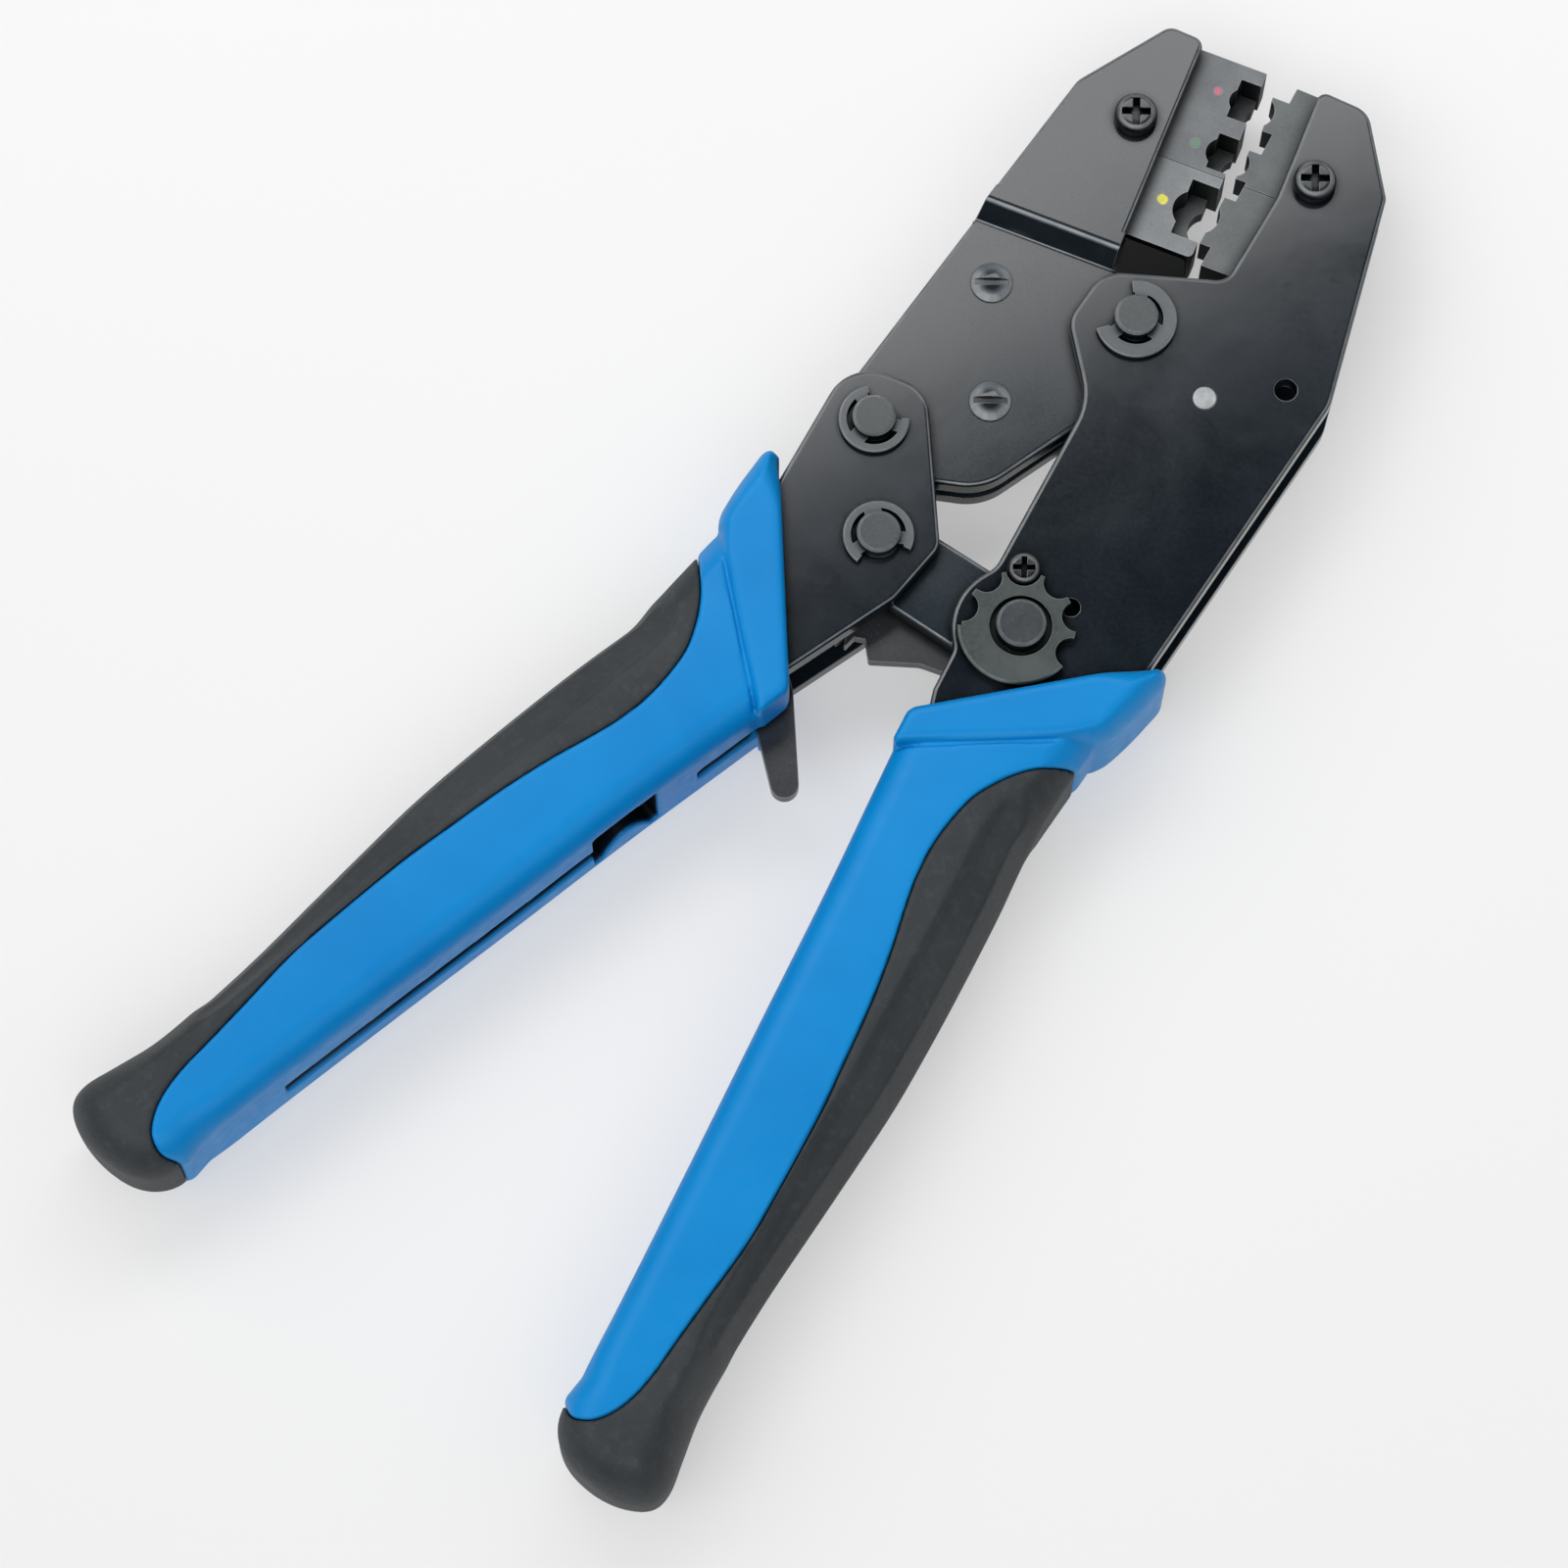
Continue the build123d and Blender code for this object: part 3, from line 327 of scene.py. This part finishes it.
TOOL_MARKS = 22                          # degrees, direction of the dies' tool marks
MATERIALS = {
    "plates": oxide("black_plate", srgb(19, 26, 32), srgb(27, 35, 42), srgb(120, 126, 130)),
    "jaw": oxide("black_plate_jaw", srgb(24, 31, 37), srgb(34, 42, 48), srgb(130, 136, 140),
                 rough=(0.12, 0.19), shade_corner=(-6.0, 6.6)),
    "link": oxide("black_link", srgb(34, 42, 48), srgb(46, 55, 62), srgb(130, 138, 144)),
    "hardware": oxide("black_hardware", srgb(40, 45, 48), srgb(54, 60, 63),
                      srgb(150, 156, 160), rough=(0.20, 0.32)),
    "screw": oxide("black_screw", srgb(20, 23, 26), srgb(31, 35, 38), srgb(130, 136, 140),
                   rough=(0.18, 0.28), rim=0.55),
    "clip": oxide("black_clip", srgb(62, 68, 72), srgb(80, 86, 90), srgb(160, 166, 170),
                  rough=(0.24, 0.36)),
    "lever": oxide("black_lever", srgb(40, 42, 45), srgb(52, 55, 58), srgb(150, 152, 155),
                   rough=(0.20, 0.30), rim=0.95),
    "wheel": oxide("black_wheel", srgb(44, 54, 53), srgb(60, 70, 69), srgb(130, 140, 138),
                   rough=(0.24, 0.36)),
    "die": machined("ground_die", srgb(92, 95, 98), srgb(116, 119, 121), srgb(170, 173, 174),
                    TOOL_MARKS),
    # painted light: a paler copy of the same ground steel
    "lower_die": machined("ground_die_painted_lit", srgb(108, 112, 115), srgb(134, 138, 140),
                          srgb(184, 187, 188), TOOL_MARKS),
    # painted shade: a dimmer copy of the same ground steel
    "fixed_die": machined("ground_die_painted_shade", srgb(82, 86, 88), srgb(104, 108, 109),
                          srgb(164, 168, 168), TOOL_MARKS),
    "bright": bright("plain_steel", srgb(170, 172, 174), 0.42),
    "spring": bright("spring_wire", srgb(120, 122, 124), 0.34),
    "plastic": plastic("blue_plastic"),
    "rubber": rubber("grip_rubber"),
}
BY_WORD = (         # the first word that is in a node's name gives its material
    ("_die_screw", "screw"), ("lock_screw", "screw"), ("binder", "jaw"), ("_clip", "clip"),
    ("jaw_lower_die", "lower_die"), ("fixed_upper_die", "fixed_die"),
    ("fixed_lower_die", "fixed_die"), ("_die", "die"),
    ("jaw_front_plate", "jaw"), ("jaw_rear_plate", "jaw"), ("_plate", "plates"),
    ("anchor_pin", "bright"), ("pawl_pin", "bright"), ("rivets", "bright"),
    ("spring", "spring"), ("link_pin", "hardware"), ("_link", "link"), ("wheel", "wheel"),
    ("ratchet", "lever"), ("spacer", "plates"), ("_core", "plastic"), ("_rubber", "rubber"),
)
DOTS = {            # colour, and the painted ring's inner and outer radius, of the mark's own
    "size_dot_red": (srgb(205, 84, 110), (0.0, 0.78)),
    "size_dot_green": (srgb(58, 130, 88), (0.42, 0.78)),
    "size_dot_yellow": (srgb(226, 216, 62), (0.0, 0.82)),
}


def dress(obj, material):
    obj.data.materials.clear()
    obj.data.materials.append(material)


for name, obj in nodes.items():
    if name in DOTS:
        colour, ring = DOTS[name]
        dress(obj, paint("paint_" + name.split("_")[-1], name, colour, ring))
        continue
    kind = next((kind for word, kind in BY_WORD if word in name), "hardware")
    dress(obj, MATERIALS[kind])


# ---- Grips, from a field sampled on a grid ----
# A grip is drawn in its own frame: t runs down from the collar tip, s points to the outer
# side, z is the height above the mid-plane, all in mm. The field is negative inside.
STEP = 0.35       # grid spacing
LOW = np.array([-2.0, -30.0, -11.8])     # corners of the grid
HIGH = np.array([136.5, 5.0, 11.8])

# outlines, as (t, s)
OUTER_SIDE = (
    (15, -2.3), (22, -3.1), (30, -3.6), (40, -3.1), (50, -2.9), (60, -2.9), (70, -3.2),
    (80, -4.1), (90, -5.1), (100, -6.1), (110, -6.7), (118, -6.8), (124, -6.1), (129, -5.5),
    (132, -6.5), (133.6, -9.5), (133.9, -13.5), (133.0, -18), (131.2, -21), (128.5, -22.8),
    (125, -23.3),
)
INNER_SIDE = ((122, -22.6), (110, -22.8), (90, -23.5), (70, -24.3), (50, -25), (35, -25.8),
              (24, -26.4))
SEAM = (
    (17.2, -1.2), (18.3, -2.8), (20.4, -5.8), (22.8, -8.8), (26.0, -11.4), (30, -13.5),
    (36.5, -14.8), (42, -14.8), (47, -14.1), (53, -13), (61, -12), (70, -11.4), (77, -11),
    (88, -11), (97, -11.3), (106, -12.5), (113, -13.4), (118, -14), (122, -15), (125, -16.5),
    (127, -18.5), (127.5, -21), (126, -23),
)
COLLAR = ((0.7, 0.4), (0.9, 1.7), (2.2, 2.25), (4.5, 1.75), (7.3, 1.05), (10.0, 0.2),
          (12.4, -0.8), (14.0, -2.2), (14.4, -3.2))
COLLAR_BACK = ((27.3, -26.1), (26.8, -26.6), (22.6, -26.7), (21.6, -26.1))
UNDER_COLLAR = ((4.0, -3.2), (9.0, -2.4))         # closes the shell's outline inside the collar
BLUE_TOP = ((-6, 9), (17.2, 9))                   # these two and the seam bound the blue shell
BLUE_BOTTOM = ((125.0, -33), (-6, -33))
CAVITY = ((-8, 0.6), (3, -0.2), (10, -2.4), (20, -6.5), (34, -9.0), (60, -9.0), (60, -21.4),
          (33, -21.9), (17, -25.2), (-8, -25.2))

# section of the shell; its rim falls by a drop over a reach, in from the outline
GRIP_HALF = 10.3                         # half depth at the top of the dome
COLLAR_HALF = 10.75                      # and at the collar
DOME_TOP = -14.5                         # s where the dome is highest
DOME_FALL = 0.35                         # how far it falls 10 mm to either side
OUTER_FADE = (-15.5, -8.5)               # s where the section turns into the outer side's
END_FADE = (116, 130)                    # t where it turns into the rounded end's
SHOULDER = (18, 38)                      # t where the collar's shoulder runs out
REACH, REACH_OUTER, REACH_END = 3.8, 0.6, 1.8     # the last two are added there
DROP, DROP_END = 3.6, 3.4
DROP_SHOULDER, DROP_LONG = 1.4, 4.2      # added on the outer side, at the shoulder and past it
ROUND, ROUND_LESS = 2.0, 0.5             # power of the rim's curve, and its loss outside
# the outer side falls in two flats that meet in a ridge
LOW_FLAT, LOW_FLAT_IN = (0.954, 0.30), 0.15       # normal in plan and height, and offset
HIGH_FLAT, HIGH_FLAT_AT = (0.46, 0.888), (2.2, 7.0)       # and depth and height it runs through
FLATS_END = (108, 124)                   # t where the flats run out at the end
FLATS_START = (19, 32)                   # t where they begin below the collar
FLARE = (-7.0, 0.5)                      # s where the collar's lip flares out
# parting line, cuts and crease
SEAM_GAP = 0.04                          # half the gap between the shell and the rubber
SKIN_INSET = 0.12                        # how far the rubber lies below the shell
SKIN_OFF_COLLAR = 0.15                   # how near the rubber comes to the collar
POCKET_HALF = 7.65                       # half depth of the pocket for the handle plates
SLIT = ((22.8, -26.0, 0.0), (14.8, 8.0, 1.75), 0.7)       # middle, half size, edge radius
WINDOW = ((50.0, -26.0, 0.0), (5.5, 8.0, 6.0), 0.6)
GROOVE = ((81.9, -26.2, -1.0), (26.4, 4.2, 1.9), 0.6)
ARCH_HALF, ARCH_FOOT, ARCH_RISE = 5.6, -9.5, 8.0          # lower edge of the window
CREASE_OUT, CREASE_HALF = 0.34, 0.24     # distance from the collar's outline, half width
CREASE_DEPTH, CREASE_LOSS = 0.5, 1.6     # and depth, lost towards either end of the collar
CREASE_SHADE = 0.6                       # how far the crease is kept from darkening


def smooth_line(points, steps=6):
    """Points along a Catmull-Rom line through the given ones."""
    p = np.array(points, float)
    p = np.vstack([2 * p[0] - p[1], p, 2 * p[-1] - p[-2]])
    out = []
    for a, b, c, d in zip(p, p[1:], p[2:], p[3:]):
        for u in np.arange(steps) / steps:
            out.append(0.5 * (2 * b + (c - a) * u + (2 * a - 5 * b + 4 * c - d) * u * u
                              + (3 * b - a - 3 * c + d) * u ** 3))
    return out + [p[-2]]


def plan_distance(polygon, t, s):
    """Signed distance from a closed outline in the plan, negative inside."""
    p = np.array(polygon, float)
    q = np.roll(p, -1, axis=0)
    best = np.full(t.shape, 1e9)
    inside = np.zeros(t.shape, bool)
    for (ax, ay), (bx, by) in zip(p, q):
        ex, ey = bx - ax, by - ay
        length = max(ex * ex + ey * ey, 1e-12)
        u = np.clip(((t - ax) * ex + (s - ay) * ey) / length, 0, 1)
        best = np.minimum(best, (t - ax - u * ex) ** 2 + (s - ay - u * ey) ** 2)
        if ay != by:
            crosses = ((ay > s) != (by > s)) & (t < ex * (s - ay) / ey + ax)
            inside ^= crosses
    return np.where(inside, -1, 1) * np.sqrt(best)


def ramp(value, low, high):
    """Smooth rise from 0 at low to 1 at high."""
    u = np.clip((value - low) / (high - low), 0, 1)
    return u * u * (3 - 2 * u)


def both(a, b, radius):
    """Inside both fields, with the edge between them rounded."""
    u, v = np.maximum(a + radius, 0), np.maximum(b + radius, 0)
    return np.minimum(np.maximum(a, b), -radius) + np.hypot(u, v)


def either(a, b, radius):
    """Inside one field or the other, with the corner between them filled."""
    return -both(-a, -b, radius)


def rounded(plan, height, reach, drop, power):
    """A slab whose rim falls by drop over reach, along a curve of the given power."""
    u = np.maximum(1 + plan / reach, 0)
    v = np.maximum(1 + height / drop, 0)
    rim = (u ** power + v ** power) ** (1 / power) - 1
    core = np.minimum(np.maximum(plan / reach, height / drop), -1) + 1
    return (rim + core) * np.minimum(reach, drop)


def block(t, s, z, middle, half, radius):
    """Box with rounded edges."""
    a, b, c = (np.abs(v - m) - h for v, m, h in zip((t, s, z), middle, half))
    return both(both(a, b, radius), c, radius)


def surface(field):
    """Closed quad mesh where the field is zero: one point in each cell that it crosses."""
    inside = field < 0
    size = [n - 1 for n in field.shape]
    corners = [(i, j, k) for i in (0, 1) for j in (0, 1) for k in (0, 1)]

    def at(grid, c):
        return grid[tuple(slice(o, o + n) for o, n in zip(c, size))]

    count = sum(at(inside, c).astype(np.int8) for c in corners)
    active = (count > 0) & (count < 8)
    total = int(active.sum())
    index = np.full(active.shape, -1)
    index[active] = np.arange(total)
    points = np.zeros((total, 3))
    hits = np.zeros(total)
    for axis in range(3):
        for c in (c for c in corners if c[axis] == 0):
            d = tuple(1 if i == axis else v for i, v in enumerate(c))
            a, b = at(field, c)[active], at(field, d)[active]
            cross = (a < 0) != (b < 0)
            share = np.zeros(total)
            share[cross] = a[cross] / (a[cross] - b[cross])
            for i in range(3):
                points[cross, i] += share[cross] if i == axis else c[i]
            hits[cross] += 1
    points = LOW + STEP * (np.argwhere(active) + points / hits[:, None])
    quads = []
    for axis in range(3):
        near = tuple(slice(0, -1) if i == axis else slice(None) for i in range(3))
        far = tuple(slice(1, None) if i == axis else slice(None) for i in range(3))
        p = np.argwhere(inside[near] != inside[far])
        u, v = np.eye(3, dtype=int)[(axis + 1) % 3], np.eye(3, dtype=int)[(axis + 2) % 3]
        loop = np.stack([index[tuple((p - o).T)] for o in (0 * u, u, u + v, v)], axis=1)
        turned = ~inside[tuple(p.T)]
        loop[turned] = loop[turned][:, ::-1]
        quads.append(loop)
    return points, np.vstack(quads)


def shell_body(plan, t, s, height):
    """Field of the whole grip below its collar, from its outline's field."""
    to_outer, to_end = ramp(s, *OUTER_FADE), ramp(t, *END_FADE)
    reach = REACH + REACH_OUTER * to_outer + REACH_END * to_end
    long_drop = DROP_SHOULDER + DROP_LONG * ramp(t, *SHOULDER)
    drop = DROP + long_drop * to_outer + DROP_END * to_end * (1 - to_outer)
    power = ROUND - ROUND_LESS * to_outer * (1 - to_end)
    dome = GRIP_HALF - DOME_FALL * ((s - DOME_TOP) / 10) ** 2 * (1 - to_end)
    body = rounded(plan, height - dome, reach, drop, power)
    side = LOW_FLAT[0] * plan + LOW_FLAT[1] * height - LOW_FLAT_IN
    slope = (HIGH_FLAT[0] * (plan + HIGH_FLAT_AT[0])
             + HIGH_FLAT[1] * (height - HIGH_FLAT_AT[1]))
    spare = (6.0 * (1 - to_outer) + 6.0 * ramp(t, *FLATS_END)
             + 4.0 * (1 - ramp(t, *FLATS_START)))          # keeps the flats off the rest
    return both(body, both(side - spare, slope - spare, 0.35), 0.5)


def grip_fields():
    """Fields of the blue shell and the rubber, and how deep each grid point lies inside."""
    axes = [np.arange(lo, hi, STEP) for lo, hi in zip(LOW, HIGH)]
    t2, s2 = np.meshgrid(axes[0], axes[1], indexing="ij")
    t, s, z = t2[:, :, None], s2[:, :, None], axes[2][None, None, :]
    height = np.abs(z)

    def outline(*parts):
        return plan_distance([point for part in parts for point in part], t2, s2)[:, :, None]

    plan = outline(smooth_line(OUTER_SIDE), smooth_line(INNER_SIDE), UNDER_COLLAR)
    blue = outline(BLUE_TOP, smooth_line(SEAM), BLUE_BOTTOM)
    collar = outline(smooth_line(COLLAR), COLLAR_BACK)
    cavity = outline(CAVITY)

    body = shell_body(plan, t, s, height)
    to_flare = ramp(s, *FLARE)
    lip = rounded(collar, height - COLLAR_HALF, 1.1 + 2.2 * to_flare, 1.1 + 4.0 * to_flare, 2.0)
    core = either(both(body, blue + SEAM_GAP, 0.45), lip, 0.25)
    skin = both(body + SKIN_INSET, -blue + SEAM_GAP, 0.35)
    skin = np.maximum(skin, -(lip - SKIN_OFF_COLLAR))

    pocket = both(cavity, height - POCKET_HALF, 0.5)
    slit, window, groove = (block(t, s, z, *cut) for cut in (SLIT, WINDOW, GROOVE))
    arch = ARCH_FOOT + ARCH_RISE * (1 - ((t - WINDOW[0][0]) / ARCH_HALF) ** 2)
    window = both(window, arch - z, 0.4)
    for cut in (pocket, slit, window, groove):
        core = both(core, -cut, 0.3)
    skin = both(skin, -pocket, 0.3)

    outside = np.minimum(body, lip)
    from_crease = np.abs(collar - CREASE_OUT)
    crease_depth = (CREASE_DEPTH - CREASE_LOSS * ramp(s, -7.5, -4.5)
                    - CREASE_LOSS * ramp(-s, 25.2, 26.4))
    core = both(core, -np.maximum(from_crease - CREASE_HALF, -outside - crease_depth), 0.12)
    depth = -outside * (1 - CREASE_SHADE * (1 - ramp(from_crease, 0.5, 0.9)))
    return core, skin, depth


def sample(field, points):
    """Values of a grid field between its samples."""
    place = (points - LOW) / STEP
    cell = np.floor(place).astype(int)
    share = place - cell
    total = np.zeros(len(points))
    for corner in ((i, j, k) for i in (0, 1) for j in (0, 1) for k in (0, 1)):
        weight = np.prod(np.where(corner, share, 1 - share), axis=1)
        total += weight * field[tuple((cell + corner).T)]
    return total


RECESS_DEPTH = (0.15, 0.7)               # mm inside the shell, from no painted shade at the surface to full painted shade in openings
FRAMES = {           # collar tip, direction down the grip, outer side, stretch along the grip
    "fixed": ((20.62, -45.0), (-0.1028, -0.9947), 1, 1.013),
    "moving": ((-37.75, -36.36), (-0.46, -0.888), -1, 1.0),
}


def add_grip(name, shape, recess_shade, side, material):
    """Places a grip mesh in the row frame; the painted shade given for each point is 1 on the
    walls of openings, else 0.
    """
    points, quads = shape
    origin, down, turn, stretch = FRAMES[side]
    points = points * (stretch, 1, 1)
    down = np.array(down) / np.hypot(*down)
    out = turn * np.array([-down[1], down[0]])
    plan = np.array(origin) + np.array(PIVOT) + points[:, :1] * down + points[:, 1:2] * out
    place = np.column_stack([plan, points[:, 2] + HALF_DEPTH]) * MM
    loop = quads if turn > 0 else quads[:, ::-1]
    mesh = bpy.data.meshes.new(name)
    mesh.from_pydata(place.tolist(), [], loop.tolist())
    mesh.update()
    mesh.polygons.foreach_set("use_smooth", np.ones(len(mesh.polygons), bool))
    mesh.attributes.new("recess_shade", "FLOAT", "POINT").data.foreach_set("value", recess_shade)
    obj = bpy.data.objects.new(name, mesh)
    bpy.context.scene.collection.objects.link(obj)
    dress(obj, material)
    return obj


core_field, skin_field, depth_field = grip_fields()
core_shape, skin_shape = surface(core_field), surface(skin_field)
for side in FRAMES:
    for part, shape, kind in (("core", core_shape, "plastic"), ("rubber", skin_shape, "rubber")):
        recess_shade = ramp(sample(depth_field, shape[0]), *RECESS_DEPTH).astype(np.float32)
        piece = add_grip(f"{side}_grip_{part}_shell", shape, recess_shade, side, MATERIALS[kind])
        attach(piece, side + "_handle")
        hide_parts(f"{side}_grip_{part}")


# ---- Studio ----
FLOOR = 4.0                              # m, half the table top's side
FLOOR_GLOW = 0.42                        # light from below, which keeps the shadows light


def add_floor():
    """Pale diffusing table top, lit from below, just under the tool."""
    mesh = bpy.data.meshes.new("floor")
    corners = [(x * FLOOR, y * FLOOR, 0) for x, y in ((-1, -1), (1, -1), (1, 1), (-1, 1))]
    mesh.from_pydata(corners, [], [(0, 1, 2, 3)])
    obj = bpy.data.objects.new("floor", mesh)
    obj.location.z = -0.0001
    bpy.context.scene.collection.objects.link(obj)
    s = Shader("pale_floor")
    s.set(Base_Color=s.mix(s.remap(s.noise(0.004, 2), 0.3, 0.7), (0.45, 0.45, 0.45),
                           (0.46, 0.46, 0.46)), Roughness=0.9, Specular_IOR_Level=0.1,
          Emission_Color=(1, 1, 1, 1), Emission_Strength=FLOOR_GLOW)
    dress(obj, s.material)


VIEW_TURN = math.radians(22.0)          # camera azimuth
VIEW_TILT = math.radians(16.0)          # away from straight down
VIEW_DISTANCE = 0.850                   # m
TARGET = Vector((0.011097, -0.011215, HALF_DEPTH * MM))     # m, point in the picture's middle
FOCAL = 142.5                           # mm, on a sensor 36 mm wide


def image_axes():
    """Right and up of the picture, on the floor."""
    right = Vector((math.cos(VIEW_TURN), math.sin(VIEW_TURN), 0))
    up = Vector((-math.sin(VIEW_TURN), math.cos(VIEW_TURN), 0))
    return right, up


def add_camera():
    right, up = image_axes()
    data = bpy.data.cameras.new("camera")
    data.lens = FOCAL
    data.sensor_width = 36.0
    data.clip_start = 0.02
    obj = bpy.data.objects.new("camera", data)
    bpy.context.scene.collection.objects.link(obj)
    back = -up * math.sin(VIEW_TILT) + Vector((0, 0, math.cos(VIEW_TILT)))
    obj.location = TARGET + back * VIEW_DISTANCE
    top = back.cross(right)
    obj.matrix_world = Matrix.Translation(obj.location) @ Matrix(
        (right, top, back)).transposed().to_4x4()
    bpy.context.scene.camera = obj


def add_light(name, place, aim, size, power, edge_turn=0.0):
    """Soft light. place and aim are metres right, up and above the target in the picture;
    edge_turn turns its long edge clockwise from the picture's horizontal."""
    right, up = image_axes()

    def spot(p):
        return TARGET + right * p[0] + up * p[1] + Vector((0, 0, p[2]))

    data = bpy.data.lights.new(name, "AREA")
    data.shape = "RECTANGLE"
    data.size, data.size_y = size
    data.energy = power
    obj = bpy.data.objects.new(name, data)
    bpy.context.scene.collection.objects.link(obj)
    back = (spot(place) - spot(aim)).normalized()
    turn = math.radians(edge_turn)
    edge = right * math.cos(turn) - up * math.sin(turn)
    edge = (edge - back * edge.dot(back)).normalized()
    obj.matrix_world = Matrix.Translation(spot(place)) @ Matrix(
        (edge, back.cross(edge), back)).transposed().to_4x4()


# azimuth from the picture's right, angle off the zenith, both in degrees, and strength
WORLD_LOBES = (
    (0, 50, 0.7), (45, 55, 0.8), (135, 48, 1.9), (180, 46, 1.3), (225, 38, 2.5),
    (270, 36, 2.1), (315, 40, 0.9),
)
LOBE_HALF = math.radians(26)            # a lobe fades out here
LOBE_CORE = math.radians(9)             # and is full to here


def add_world():
    """Large soft lights all round at half height, and nothing overhead but the softbox."""
    world = bpy.data.worlds.new("studio")
    world.use_nodes = True
    tree = world.node_tree
    background = tree.nodes["Background"]
    background.inputs["Color"].default_value = (1, 1, 1, 1)
    place = tree.nodes.new("ShaderNodeTexCoord")
    right, up = image_axes()
    total = None
    for azimuth, zenith, strength in WORLD_LOBES:
        turn, lean = math.radians(azimuth), math.radians(zenith)
        level = right * math.cos(turn) + up * math.sin(turn)
        middle = level * math.sin(lean) + Vector((0, 0, math.cos(lean)))
        near = tree.nodes.new("ShaderNodeVectorMath")
        near.operation = "DOT_PRODUCT"
        tree.links.new(place.outputs["Generated"], near.inputs[0])
        near.inputs[1].default_value = middle
        lobe = tree.nodes.new("ShaderNodeMapRange")
        lobe.interpolation_type = "SMOOTHSTEP"
        for key, value in (("From Min", math.cos(LOBE_HALF)), ("From Max", math.cos(LOBE_CORE)),
                           ("To Min", 0.0), ("To Max", strength)):
            lobe.inputs[key].default_value = value
        tree.links.new(near.outputs["Value"], lobe.inputs["Value"])
        if total is None:
            total = lobe.outputs[0]
            continue
        add = tree.nodes.new("ShaderNodeMath")
        tree.links.new(total, add.inputs[0])
        tree.links.new(lobe.outputs[0], add.inputs[1])
        total = add.outputs[0]
    tree.links.new(total, background.inputs["Strength"])
    bpy.context.scene.world = world
    bpy.context.scene.view_settings.view_transform = "Standard"


add_floor()
add_camera()
add_light("overhead_softbox", (0.017, 0.424, 0.60), (0.017, 0.424, 0), (0.60, 0.30), 2.2, -26)
add_world()
